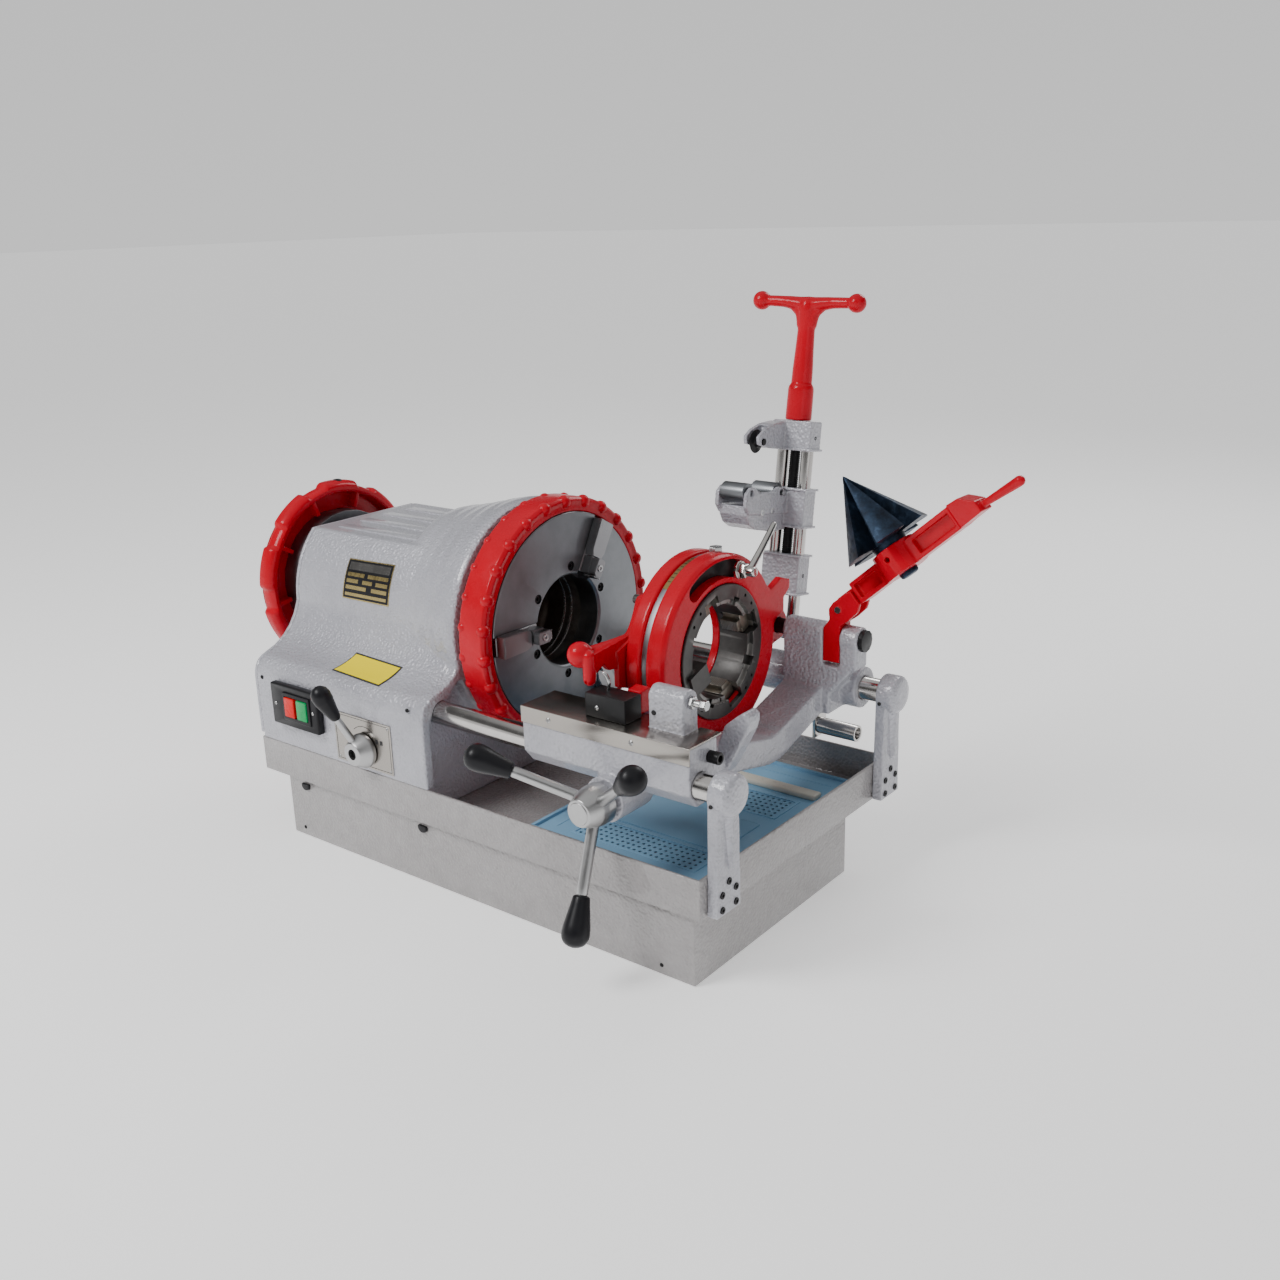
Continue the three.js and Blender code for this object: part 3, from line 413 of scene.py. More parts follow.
def block(lowest, highest, edge=0.0, steps=3):
    """A box with rounded edges."""
    bm = bmesh.new()
    bmesh.ops.create_cube(bm, size=1)
    size = Vector(highest) - Vector(lowest)
    for vert in bm.verts:
        vert.co = Vector(lowest) + Vector((vert.co[i] + 0.5) * size[i] for i in range(3))
    if edge:
        bmesh.ops.bevel(bm, geom=bm.edges, offset=edge, segments=steps, profile=0.5, affect="EDGES")
    return bm


def lathe(axis, profile, origin=(0, 0, 0), segments=96, shape=None, soft=0.0):
    """A turned solid from points [along, radius]; shape(angle, radius) may change the radius."""
    along, across, up = basis(axis)
    if soft:
        profile = softened(profile, soft)
    bm = bmesh.new()
    rings = []
    for distance, radius in profile:
        centre = Vector(origin) + along * distance
        if radius <= 0:
            rings.append([bm.verts.new(centre)])
            continue
        ring = []
        for i in range(segments):
            angle = 2 * math.pi * i / segments
            r = shape(angle, radius) if shape else radius
            ring.append(bm.verts.new(centre + (across * math.cos(angle) + up * math.sin(angle)) * r))
        rings.append(ring)
    closed = len(rings[0]) > 1 and len(rings[-1]) > 1
    pairs = list(zip(rings, rings[1:])) + ([(rings[-1], rings[0])] if closed else [])
    for first, second in pairs:
        for i in range(segments):
            j = (i + 1) % segments
            corners = [first[i % len(first)], second[i % len(second)], second[j % len(second)],
                       first[j % len(first)]]
            unique = list(dict.fromkeys(corners))
            if len(unique) > 2:
                bm.faces.new(unique)
    bmesh.ops.recalc_face_normals(bm, faces=bm.faces)
    return bm


def softened(profile, radius, steps=3):
    """The profile with its corners rounded."""
    out = []
    count = len(profile)
    open_ends = profile[0][1] <= 0
    for i, corner in enumerate(profile):
        if open_ends and i in (0, count - 1):
            out.append(corner)
            continue
        here = Vector(corner)
        before = Vector(profile[i - 1]) - here
        after = Vector(profile[(i + 1) % count]) - here
        reach = min(radius, before.length * 0.45, after.length * 0.45)
        a = here + before.normalized() * reach
        b = here + after.normalized() * reach
        for k in range(steps + 1):
            t = k / steps
            point = a * (1 - t) ** 2 + here * 2 * t * (1 - t) + b * t ** 2
            out.append((point.x, point.y))
    return out


def turned(axis, ends, radii, origin=(0, 0, 0), segments=96, soft=0.0):
    """A plain cylinder or ring between two ends, with an inner and an outer radius."""
    (start, end), (inner, outer) = ends, radii
    profile = [(start, inner), (start, outer), (end, outer), (end, inner)]
    return lathe(axis, profile, origin, segments, soft=soft)


def walled(bm, rings):
    """Faces between neighbouring rings of one length, and over the first ring."""
    for one, two in zip(rings, rings[1:]):
        for i in range(len(one)):
            j = (i + 1) % len(one)
            bm.faces.new((one[i], one[j], two[j], two[i]))
    bm.faces.new(list(reversed(rings[0])))


def sweep(points, radii, sides=24):
    """A round bar along smoothed points, with round ends."""
    smooth = 6  # short steps from one point to the next
    path = [Vector(p) for p in points]
    fine, widths = [], []
    for i in range(len(path) - 1):
        p0, p1 = path[max(i - 1, 0)], path[i]
        p2, p3 = path[i + 1], path[min(i + 2, len(path) - 1)]
        for k in range(smooth):
            t = k / smooth
            fine.append(0.5 * (2 * p1 + (p2 - p0) * t + (2 * p0 - 5 * p1 + 4 * p2 - p3) * t ** 2
                               + (3 * p1 - p0 - 3 * p2 + p3) * t ** 3))
            widths.append(radii[i] * (1 - t) + radii[i + 1] * t)
    fine.append(path[-1])
    widths.append(radii[-1])
    caps = [(math.sin(math.radians(a)), math.cos(math.radians(a))) for a in (0, 30, 60, 80)]
    first = (fine[1] - fine[0]).normalized()
    last = (fine[-1] - fine[-2]).normalized()
    stations = [(fine[0] - first * widths[0] * s, widths[0] * c) for s, c in reversed(caps[1:])]
    stations += list(zip(fine, widths))
    stations += [(fine[-1] + last * widths[-1] * s, widths[-1] * c) for s, c in caps[1:]]
    bm = bmesh.new()
    side = first.orthogonal().normalized()
    rings = []
    for i, (centre, radius) in enumerate(stations):
        ahead = stations[min(i + 1, len(stations) - 1)][0] - stations[max(i - 1, 0)][0]
        ahead.normalize()
        side = (side - ahead * side.dot(ahead)).normalized()
        other = ahead.cross(side)
        rings.append([bm.verts.new(centre + (side * math.cos(a) + other * math.sin(a)) * radius)
                      for a in (2 * math.pi * k / sides for k in range(sides))])
    walled(bm, rings)
    bm.faces.new(rings[-1])
    bmesh.ops.recalc_face_normals(bm, faces=bm.faces)
    return bm


def ball(centre, radius, rings=20):
    profile = [(-radius * math.cos(math.pi * i / rings), radius * math.sin(math.pi * i / rings))
               for i in range(rings + 1)]
    profile[0], profile[-1] = (-radius, 0), (radius, 0)
    return lathe("z", profile, centre, 2 * rings)


def merged(*bodies):
    """Several closed shells in one mesh."""
    whole = bmesh.new()
    for bm in bodies:
        mesh = bpy.data.meshes.new("part")
        bm.to_mesh(mesh)
        bm.free()
        whole.from_mesh(mesh)
        bpy.data.meshes.remove(mesh)
    return whole


def moved(bm, matrix):
    bmesh.ops.transform(bm, matrix=matrix, verts=bm.verts)
    return bm


def aimed(bm, place, axis):
    """Puts a shape made at the origin, facing +X, at a place, facing an axis."""
    turn = X.rotation_difference(Vector(axis)).to_matrix().to_4x4()
    return moved(bm, Matrix.Translation(Vector(place)) @ turn)


def round_spindle(bm, angle):
    """Turns a shape made at angle 0, along +Y of the spindle, round the spindle."""
    place = Matrix.Translation(SPINDLE)
    return moved(bm, place @ Matrix.Rotation(math.radians(angle), 4, "X") @ place.inverted())


def new_object(bm, name="scratch"):
    """Links an object made from the mesh, which is freed."""
    mesh = bpy.data.meshes.new(name)
    bm.to_mesh(mesh)
    bm.free()
    item = bpy.data.objects.new(name, mesh)
    bpy.context.scene.collection.objects.link(item)
    return item


def evaluated(item):
    """The object's mesh with its modifiers applied; the object is removed."""
    bpy.context.view_layer.update()
    graph = bpy.context.evaluated_depsgraph_get()
    mesh = bpy.data.meshes.new_from_object(item.evaluated_get(graph))
    bm = bmesh.new()
    bm.from_mesh(mesh)
    old = item.data
    bpy.data.objects.remove(item)
    bpy.data.meshes.remove(old)
    bpy.data.meshes.remove(mesh)
    return bm


def carved(bm, *tools, operation="DIFFERENCE"):
    """Exact boolean of one solid with others."""
    whole = new_object(bm)
    cutters = [new_object(tool, "tool") for tool in tools]
    for cutter in cutters:
        modifier = whole.modifiers.new("cut", "BOOLEAN")
        modifier.operation = operation
        modifier.solver = "EXACT"
        modifier.object = cutter
    result = evaluated(whole)
    for cutter in cutters:
        mesh = cutter.data
        bpy.data.objects.remove(cutter)
        bpy.data.meshes.remove(mesh)
    return result


def cad_copy(node):
    """A CAD node's mesh in millimetres, welded."""
    bm = bmesh.new()
    bm.from_mesh(frame["nodes"][node].data)
    bmesh.ops.remove_doubles(bm, verts=bm.verts, dist=1e-6)
    bmesh.ops.scale(bm, vec=(1 / MM,) * 3, verts=bm.verts)
    return bm


def cast(bm, voxel, rounds, keep):
    """The shape as a casting: shells run together, edges and corners rounded off."""
    item = new_object(bm)
    remesh = item.modifiers.new("remesh", "REMESH")
    remesh.mode = "VOXEL"
    remesh.voxel_size = voxel * 1
    smooth = item.modifiers.new("smooth", "SMOOTH")
    smooth.factor = 0.5
    smooth.iterations = rounds
    fewer = item.modifiers.new("fewer", "DECIMATE")
    fewer.ratio = keep
    return evaluated(item)


def piece(name, bm, slot, body, replaces=(), material=None, sharp=32):
    """Makes the finished piece from a mesh in millimetres and rides it on its body."""
    bmesh.ops.scale(bm, vec=(MM,) * 3, verts=bm.verts)
    item = new_object(bm, name)
    mesh = item.data
    mesh.polygons.foreach_set("use_smooth", [True] * len(mesh.polygons))
    mesh.set_sharp_from_angle(angle=math.radians(sharp))
    mesh.materials.append(material or MATERIALS[slot])
    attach(item, body)
    if replaces:
        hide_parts(*replaces)


SLOT_OF = {part["node"]: part["material_slot"] for part in frame["record"]["subparts"]}
BODY_OF = {node: body for body, nodes in frame["record"]["behaviour"]["bodies"].items() for node in nodes}


def dress(node, bevel, material=None):
    """Keeps a CAD node and gives it its finish and rounded edges."""
    item = frame["nodes"][node]
    mesh = item.data
    mesh.materials.clear()
    mesh.materials.append(material or MATERIALS[SLOT_OF[node]])
    weld = item.modifiers.new("weld", "WELD")
    weld.merge_threshold = 1e-6
    flat = item.modifiers.new("flat", "DECIMATE")
    flat.decimate_type = "DISSOLVE"
    flat.angle_limit = math.radians(1)
    mesh.polygons.foreach_set("use_smooth", [True] * len(mesh.polygons))
    edges = item.modifiers.new("edges", "BEVEL")
    edges.width = bevel * MM
    edges.segments = 2
    edges.limit_method = "ANGLE"
    edges.angle_limit = math.radians(30)
    edges.harden_normals = True


def skin(node, bm, name=None, **options):
    """A piece that stands for one CAD node."""
    piece(name or node + "_skin", bm, SLOT_OF[node], BODY_OF[node], (node,), **options)


def socket_screw(name, place, axis, body, radius, depth, material=None, slot="chrome_plate"):
    """Cap screw head with a hexagon socket; axis is where its head faces."""
    outer = turned("x", (-depth, 0), (0, radius), segments=32, soft=0.4)
    socket = turned("x", (-depth * 0.6, 1), (0, radius * 0.5), segments=6)
    piece(name, aimed(carved(outer, socket), place, axis), slot, body, material=material or SCREW_ZINC)


def pan_screw(name, place, axis, body, radius, material=None):
    """Domed screw head with a cross slot."""
    dome = lathe("x", [(-1, 0), (-1, radius), (0, radius), (radius * 0.25, radius * 0.8),
                       (radius * 0.4, radius * 0.4), (radius * 0.45, 0)], segments=32)
    reach, half = radius * 0.6, radius * 0.12
    slots = [block((0.1, -reach, -half), (3, reach, half)), block((0.1, -half, -reach), (3, half, reach))]
    screw = aimed(carved(dome, *slots), place, axis)
    piece(name, screw, "chrome_plate", body, material=material or SCREW_ZINC)


# ---- headstock -----------------------------------------------------------------------------------

BARREL_R = 134.0
FLAT_TOP = 409.0
SKIRT = 137.7  # lower edge of the walls, on the tray


def shoulder_curve(side, wall, turn_y, turn_z, low_z):
    """Barrel side down to the wall, as points from the top."""
    a, b = Vector((side * BARREL_R, SPINDLE.z)), Vector((turn_y, turn_z))
    first = quadratic(a, Vector((side * 150, 266)), b)
    second = quadratic(b, Vector((wall, turn_z - 5)), Vector((wall, low_z)))
    return first + second[1:]


def quadratic(a, middle_point, b):
    """Eleven points of a curve from a to b, drawn towards the middle point."""
    return [a * (1 - t) ** 2 + middle_point * 2 * t * (1 - t) + b * t ** 2
            for t in (i / 10 for i in range(11))]


def head_outline(bottom):
    """The headstock across X: flat top, round barrel, shoulders and walls."""
    reach = math.degrees(math.acos((FLAT_TOP - SPINDLE.z) / BARREL_R))
    right = arc((0, SPINDLE.z), BARREL_R, 0, 90 - reach, 14)
    left = arc((0, SPINDLE.z), BARREL_R, 90 + reach, 180, 14)
    front = [tuple(p) for p in shoulder_curve(-1, FRONT_Y, -196, 254, 222)]
    back = [tuple(p) for p in reversed(shoulder_curve(1, 196, 182, 256, 232))]
    return back + right[1:] + left + front[1:] + [(FRONT_Y, bottom), (196, bottom)]


def bell_radius(x):
    """The barrel swells towards the front chuck."""
    stops = [(-195, 128.0), (-165, 133.0), (-140, 138.0), (-115, 144.0), (-90, 150.5), (-70, 154.5),
             (-57, 155.5)]
    for (x0, r0), (x1, r1) in zip(stops, stops[1:]):
        if x <= x1:
            t = max(0.0, (x - x0) / (x1 - x0))
            return r0 + (r1 - r0) * t * t * (3 - 2 * t) if x >= x0 else 0.0
    return stops[-1][1]


def make_headstock():
    """Makes the casting and returns a search tree of its skin, for the plates to lie on."""
    outline = head_outline(SKIRT - 15)
    shell = prism("x", outline, -383, -75)
    profile = [(x, bell_radius(x)) for x in range(-190, -58, 6)] + [(-57, 153)]
    bell = lathe("x", [(-190, 60)] + profile + [(-57, 60)], SPINDLE, 128)
    cheek = prism("x", [(FRONT_Y, SKIRT - 15), (FRONT_Y, 224), (-212, 244), (-196, 254), (-172, 261),
                        (-158, 270), (-147, 284), (-138, 282), (-146, 264), (-168, 247), (-196, 234),
                        (-203, 220), (-203, SKIRT - 15)], -80, -57)
    body = cast(merged(shell, bell, cheek), 2.4, 4, 0.55)
    low_z = SPINDLE.z - 24
    hollow = prism("x", [(y * 0.9, low_z + (z - low_z) * 0.88) for y, z in outline], -420, -100)
    trim = block((-420, -260, 60), (-20, 260, SKIRT))
    seats = [turned("x", (-120, -40), (0, 84.4), SPINDLE)]
    seats += [turned("x", (-88.3, -40), (0, RAIL_HOLE), (0, y, middle("rail_front").z), 48)
              for y in (middle("rail_front").y, middle("rail_rear").y)]
    casting = carved(body, hollow, under_block(), trim, *seats)
    tree = BVHTree.FromBMesh(casting)
    foot = carved(block((-375, -209, 95.3), (-75, 193, SKIRT + 1), 2), under_block())
    skin("headstock_casting", merged(casting, foot), sharp=50)
    for i, y in enumerate((-66, -24, 18, 60)):
        rib = block((-362 + abs(y) * 0.1, y - 9, 404), (-190 + abs(y) * 0.25, y + 9, 410.4), 1.3)
        piece(f"head_rib_{i + 1}", rib, "hammertone_paint", "frame")
    dress("headstock_end_cover", 2.0)
    return tree


def under_block():
    return block((-363, -197, 80), (-100, 180, 165))


def between(corners, u, v):
    """A point of the quadrilateral; corners run round it from the top left."""
    a, b, c, d = (Vector(corner) for corner in corners)
    return a.lerp(b, u).lerp(d.lerp(c, u), v)


def field(corners, u0, v0, u1, v1):
    return [between(corners, u, v) for u, v in ((u0, v0), (u1, v0), (u1, v1), (u0, v1))]


def sticker(tree, name, corners, facing, material, lift, steps=12):
    """A thin sheet laid on the headstock; facing points away from it."""
    bm = bmesh.new()
    layers = []
    for height in (lift - 0.5, lift):
        layer = []
        for j in range(steps + 1):
            row = []
            for i in range(steps + 1):
                above = between(corners, i / steps, j / steps) + facing * 60
                row.append(bm.verts.new(tree.ray_cast(above, -facing)[0] + facing * height))
            layer.append(row)
        layers.append(layer)
    for layer in layers:
        for j in range(steps):
            for i in range(steps):
                bm.faces.new((layer[j][i], layer[j][i + 1], layer[j + 1][i + 1], layer[j + 1][i]))
    rim = [(0, i) for i in range(steps)] + [(j, steps) for j in range(steps)]
    rim += [(steps, i) for i in range(steps, 0, -1)] + [(j, 0) for j in range(steps, 0, -1)]
    for (a, b), (c, d) in zip(rim, rim[1:] + rim[:1]):
        bm.faces.new((layers[0][a][b], layers[0][c][d], layers[1][c][d], layers[1][a][b]))
    bmesh.ops.recalc_face_normals(bm, faces=bm.faces)
    piece(name, bm, "black_plastic", "frame", material=material, sharp=60)


def make_plates(tree):
    plate = [(-285, -115.4, 380.8), (-200, -114.2, 382.8), (-199, -132.3, 333.8), (-287, -132.5, 332.6)]
    outward = Vector((0, -0.94, 0.342))
    sticker(tree, "name_plate_border", field(plate, -0.02, -0.03, 1.02, 1.03), outward, PLATE_GOLD, 0.5)
    sticker(tree, "name_plate", plate, outward, MATERIALS["black_plastic"], 0.75)
    fields = [(0.04, 0.05, 0.96, 0.26), (0.04, 0.33, 0.42, 0.43), (0.5, 0.33, 0.96, 0.43),
              (0.04, 0.5, 0.3, 0.6), (0.4, 0.5, 0.62, 0.6), (0.7, 0.5, 0.96, 0.6),
              (0.04, 0.67, 0.5, 0.77), (0.62, 0.67, 0.96, 0.77), (0.04, 0.86, 0.96, 0.94)]
    for i, area in enumerate(fields):
        material = MATERIALS["chrome_plate"] if i == 0 else PLATE_GOLD
        sticker(tree, f"name_plate_field_{i + 1}", field(plate, *area), outward, material, 0.95, steps=6)
    label = [(-234, -162.5, 270.5), (-142, -165.5, 268.1), (-149, -202.2, 251.8), (-246, -196.5, 253.9)]
    sticker(tree, "label_border", label, Z, ENGRAVED, 0.7)
    sticker(tree, "label_face", field(label, 0.025, 0.06, 0.975, 0.94), Z, LABEL_YELLOW, 1.0)
    for i, (x, z) in enumerate([(-82, 238.4), (-371, 226)]):
        pan_screw(f"wall_screw_{i + 1}", (x, FRONT_Y - 0.4, z), -Y, "frame", 2.8, BLACK_STEEL)


def make_selector():
    x0, x1, z0, z1 = -224, -116, 142, 210
    face = FRONT_Y - 1.3
    plate = block((x0, face, z0), (x1, FRONT_Y - 0.2, z1), 0.4)
    piece("selector_plate", plate, "stainless_sheet", "frame")
    hub = pivot("selector_turn")
    lines = [((x0 + 3, z0 + 3), (x1 - 3, z0 + 3)), ((x1 - 3, z0 + 3), (x1 - 3, z1 - 3)),
             ((x1 - 3, z1 - 3), (x0 + 3, z1 - 3)), ((x0 + 3, z1 - 3), (x0 + 3, z0 + 3))]
    strips = [block((min(a[0], b[0]) - 0.3, face - 0.15, min(a[1], b[1]) - 0.3),
                    (max(a[0], b[0]) + 0.3, face + 0.3, max(a[1], b[1]) + 0.3)) for a, b in lines]
    scale = strip((hub.x, hub.z), 31, 30.2, 55, 130)
    strips.append(prism("y", scale, face - 0.15, face + 0.3))
    strips += [block((x, face - 0.15, 180), (x + 5, face + 0.3, 186)) for x in (hub.x + 20, hub.x + 29)]
    piece("selector_plate_lines", merged(*strips), "black_plastic", "frame", material=ENGRAVED)
    for i, (x, z) in enumerate([(x0 + 5, z0 + 5), (x1 - 5, z0 + 5), (x1 - 5, z1 - 5), (x0 + 5, z1 - 5)]):
        pan_screw(f"selector_rivet_{i + 1}", (x, face - 0.1, z), -Y, "frame", 1.8)
    profile = softened([(-219.5, 0), (-219.5, 22), (-222, 23), (-226, 23), (-241, 15), (-241.3, 0)], 1.2)
    cone = lathe("y", profile, (hub.x, 0, hub.z), 64)
    bore = turned("y", (-250, -232), (0, 7.2), (hub.x, 0, hub.z), 32)
    rod = sweep([(-168, -231, 176), (-181, -251, 222), (-184, -255, 233)], [5.2, 4.4, 4.4])
    hub_and_rod = merged(carved(cone, bore), rod)
    skin("selector_lever", hub_and_rod, "selector_hub_and_rod", material=BRUSHED)
    knob = sweep([(-180.6, -250.6, 221), (-183, -254, 229), (-187, -259.5, 243), (-189, -262, 250)],
                 [7.4, 9.2, 12.6, 13.0], 32)
    piece("selector_knob", knob, "black_plastic", "selector")
    nut = turned("y", (-236, -231.5), (0, 5), (hub.x, 0, hub.z), 6, soft=0.4)
    # a black disc on the floor of the hub's hole: painted shade
    shade = turned("y", (-232.6, -231.6), (0, 7.1), (hub.x, 0, hub.z), 32)
    piece("selector_hub_nut_and_painted_shade", merged(nut, shade), "black_steel", "selector")


def make_switch():
    dress("switch_housing", 2.5)
    dress("stop_button", 1.2)
    dress("start_button", 1.2)
    lowest, highest = low("switch_housing"), high("switch_housing")
    x0, x1 = low("stop_button").x, high("start_button").x
    z0, z1 = low("stop_button").z, high("stop_button").z
    y = lowest.y
    outer = block((x0 - 5, y - 2.0, z0 - 6), (x1 + 5, y + 0.5, z1 + 6), 0.9)
    inner = block((x0 - 1, y - 5, z0 - 1), (x1 + 1, y + 3, z1 + 1))
    piece("switch_bezel", carved(outer, inner), "black_plastic", "frame")
    for i, x in enumerate((lowest.x + 9, highest.x - 9)):
        pan_screw(f"switch_screw_{i + 1}", (x, y - 0.2, (z0 + z1) / 2), -Y, "frame", 2.4)


# ---- spindle and chucks --------------------------------------------------------------------------


def make_chuck():
    radius, width = 141.4, 33.0
    screw_circle = 71  # radius through the six screws
    profile = softened([(-width, 60), (-width, radius), (-1.0, radius), (0, radius - 1),
                        (0, 63), (-2.5, 60)], 0.5)
    disc = lathe("x", profile, SPINDLE, 160)
    neck = turned("x", (-54, -30), (68.4, 90), SPINDLE, 96)
    tools = [round_spindle(block((-19, 50, SPINDLE.z - 12.5), (4, 150, SPINDLE.z + 12.5)), angle)
             for angle in JAW_ANGLES]
    screw_angles = range(24, 360, 60)
    for angle in screw_angles:
        hole = turned("x", (-6, 3), (0, 6.2), SPINDLE + Y * screw_circle, 24)
        tools.append(round_spindle(hole, angle))
    skin("front_chuck_body", merged(carved(disc, *tools), neck), sharp=28)
    for i, angle in enumerate(screw_angles):
        place = SPINDLE + Vector((-2.0, *polar(screw_circle, angle)))
        socket_screw(f"chuck_screw_{i + 1}", place, X, "spindle", 5.5, 4.0, BLACK_STEEL, "black_steel")
    inside = [(-430, 68), (-430, 61), (-300, 61), (-298, 62.5), (-292, 62.5), (-290, 61), (-120, 61),
              (-118, 60.4), (-112, 60.4), (-110, 61), (-96, 61), (-94, 60.4), (-88, 60.4), (-86, 61),
              (-33.5, 61), (-33.5, 68)]
    # the bore's inside in the darkened steel: painted shade
    skin("spindle_tube", lathe("x", inside, SPINDLE, 96), material=BORE_PAINTED_SHADE)
    # raised rings in the bore, made bright zinc as a painted highlight of the glint rings inside
    for i, x in enumerate((-48, -60, -110)):
        ring = turned("x", (x - 3, x), (60.2, 61.5), SPINDLE, 96, soft=0.5)
        piece(f"bore_painted_glint_ring_{i + 1}", ring, "machined_steel", "spindle", material=SCREW_ZINC)
    internal = ("spindle_gear", "front_bearing", "rear_bearing", "rear_chuck_body", "motor_housing",
                "motor_rotor", "layshaft_gears", "oil_pump")
    for node in internal:
        dress(node, 0.4)


def make_jaw(index, angle):
    centre = SPINDLE.z
    base = block((-18.5, 64, centre - 12), (1, 138, centre + 12), 1.0)
    step = prism("x", [(64, -9), (88, -9.5), (96, -13), (137, -14), (137, 14), (96, 13), (88, 9.5), (64, 9)],
                 0.3, 14, (0, 0, centre))
    bmesh.ops.bevel(step, geom=step.edges, offset=1.0, segments=2, affect="EDGES")
    tip = prism("x", [(61, -3), (65, -8), (84, -8), (86, -6), (86, 6), (84, 8), (65, 8), (61, 3)], 4, 24,
                (0, 0, centre))
    bmesh.ops.bevel(tip, geom=tip.edges, offset=0.9, segments=2, affect="EDGES")
    groove = block((-0.5, 86.2, centre - 9.5), (20, 88, centre + 9.5))
    body = merged(base, carved(step, groove), tip)
    skin(f"front_jaw_{index}", round_spindle(body, angle), material=JAW_STEEL, sharp=30)
    pin = lathe("x", [(20, 0), (20, 4.6), (25, 4.6), (25, 2), (23.6, 2), (23.6, 0)],
                SPINDLE + Y * 74, 32, soft=0.3)
    pitch = 2.6
    tooth_low, tooth_high = Vector((5, 60.4, centre - 6.5)), Vector((23, 62.4, centre - 5.1))
    teeth = [block(tooth_low + Z * pitch * k, tooth_high + Z * pitch * k, 0.2, 1) for k in range(5)]
    piece(f"jaw_insert_{index}", round_spindle(merged(pin, *teeth), angle), "machined_steel", f"jaw_{index}",
          material=SCREW_ZINC)


def make_hammer_ring():
    knobs = 26
    profile = softened([(-43.4, 92), (-43.4, 157), (-40, 160.6), (-4, 160.6), (0, 156), (-1.6, 150),
                        (-1.2, 143.6), (-2, 142), (-33.6, 142), (-33.6, 92)], 1.6, 4)
    ring = lathe("x", profile, SPINDLE, 256)
    beads = []
    for k in range(knobs):
        for x, radius in ((-5.2, 8.8), (-37.6, 8.0)):
            bead = ball(SPINDLE + Vector((x, 154.6, 0)), radius, 14)
            beads.append(round_spindle(bead, 5 + 360 * k / knobs))
    skin("hammer_ring", merged(ring, *beads), material=LUMPY_RED, sharp=60)


def make_rear_ring():
    lobes = 9

    def lobed(angle, radius):
        if radius < 129:
            return radius
        wave = math.cos(lobes * (angle - math.radians(5)))
        high = min(1.0, max(0.0, (wave + 0.6) / 0.32))
        return radius - 6.0 * (1 - high) * (1 if radius > 131 else 0.5)

    profile = softened([(-471.6, 62), (-472, 126), (-469, 134), (-464, 138), (-452, 138),
                        (-446, 135.5), (-442.2, 131), (-442, 124), (-444, 121.5), (-461.5, 119),
                        (-462, 116), (-462, 62)], 2.5)
    ring = lathe("x", profile, SPINDLE, 270, lobed)
    rib = ((-463, 99, SPINDLE.z - 3), (-446, 124, SPINDLE.z + 3), 1.2)
    ribs = [round_spindle(block(*rib), 30 + 360 * k / lobes) for k in range(lobes)]
    skin("rear_ring", merged(ring, *ribs), sharp=50)
    plug = lathe("z", [(0, 0), (0, 7.5), (5, 7.2), (6.5, 5), (6.5, 0)], (-456, 12, SPINDLE.z + 132),
                 32, soft=1.0)
    piece("rear_ring_plug", plug, "black_plastic", "rear_wheel")
    for i in range(3):
        dress(f"rear_jaw_{i + 1}", 1.0)


# ---- base, tray, rails ---------------------------------------------------------------------------


def make_base():
    dress("base_tank", 1.6, WARM_GREY)
    dress("chip_tray", 1.2, WARM_GREY)
    y = low("base_tank").y
    for i, x in enumerate((-309, -78)):
        plug = lathe("y", [(y - 3.5, 0), (y - 3.5, 7), (y + 1, 8), (y + 1, 0)], (x, 0, 79), 32, soft=0.8)
        above = block((x - 12, y - 8, 81), (x + 12, y + 8, 95))
        piece(f"base_plug_{i + 1}", carved(plug, above), "black_plastic", "frame")
    for i, (x, z) in enumerate([(-322, 12), (300, 12)]):
        pan_screw(f"base_screw_{i + 1}", (x, y - 0.2, z), -Y, "frame", 2.6, BLACK_STEEL)
    make_screen()


def perforated_sheet(x0, x1, y0, y1, z0, z1, pitch, hole):
    """A sheet with a square pattern of round holes, as one closed mesh."""
    columns, rows = int((x1 - x0) / pitch), int((y1 - y0) / pitch)
    dx, dy = (x1 - x0) / columns, (y1 - y0) / rows
    bm = bmesh.new()
    corners = [(-0.5, -0.5), (0, -0.5), (0.5, -0.5), (0.5, 0), (0.5, 0.5), (0, 0.5), (-0.5, 0.5), (-0.5, 0)]
    for i in range(columns):
        for j in range(rows):
            cx, cy = x0 + dx * (i + 0.5), y0 + dy * (j + 0.5)
            outer = [[bm.verts.new((cx + a * dx, cy + b * dy, z)) for a, b in corners] for z in (z0, z1)]
            inner = [[bm.verts.new((cx + hole * math.cos(math.radians(45 * k - 135)),
                                    cy + hole * math.sin(math.radians(45 * k - 135)), z)) for k in range(8)]
                     for z in (z0, z1)]
            for k in range(8):
                n = (k + 1) % 8
                bm.faces.new((outer[1][k], outer[1][n], inner[1][n], inner[1][k]))
                bm.faces.new((outer[0][n], outer[0][k], inner[0][k], inner[0][n]))
                bm.faces.new((inner[1][k], inner[1][n], inner[0][n], inner[0][k]))
    bmesh.ops.remove_doubles(bm, verts=bm.verts, dist=0.001)
    rim = [edge for edge in bm.edges if len(edge.link_faces) == 1]
    bmesh.ops.bridge_loops(bm, edges=rim)
    bmesh.ops.recalc_face_normals(bm, faces=bm.faces)
    return bm


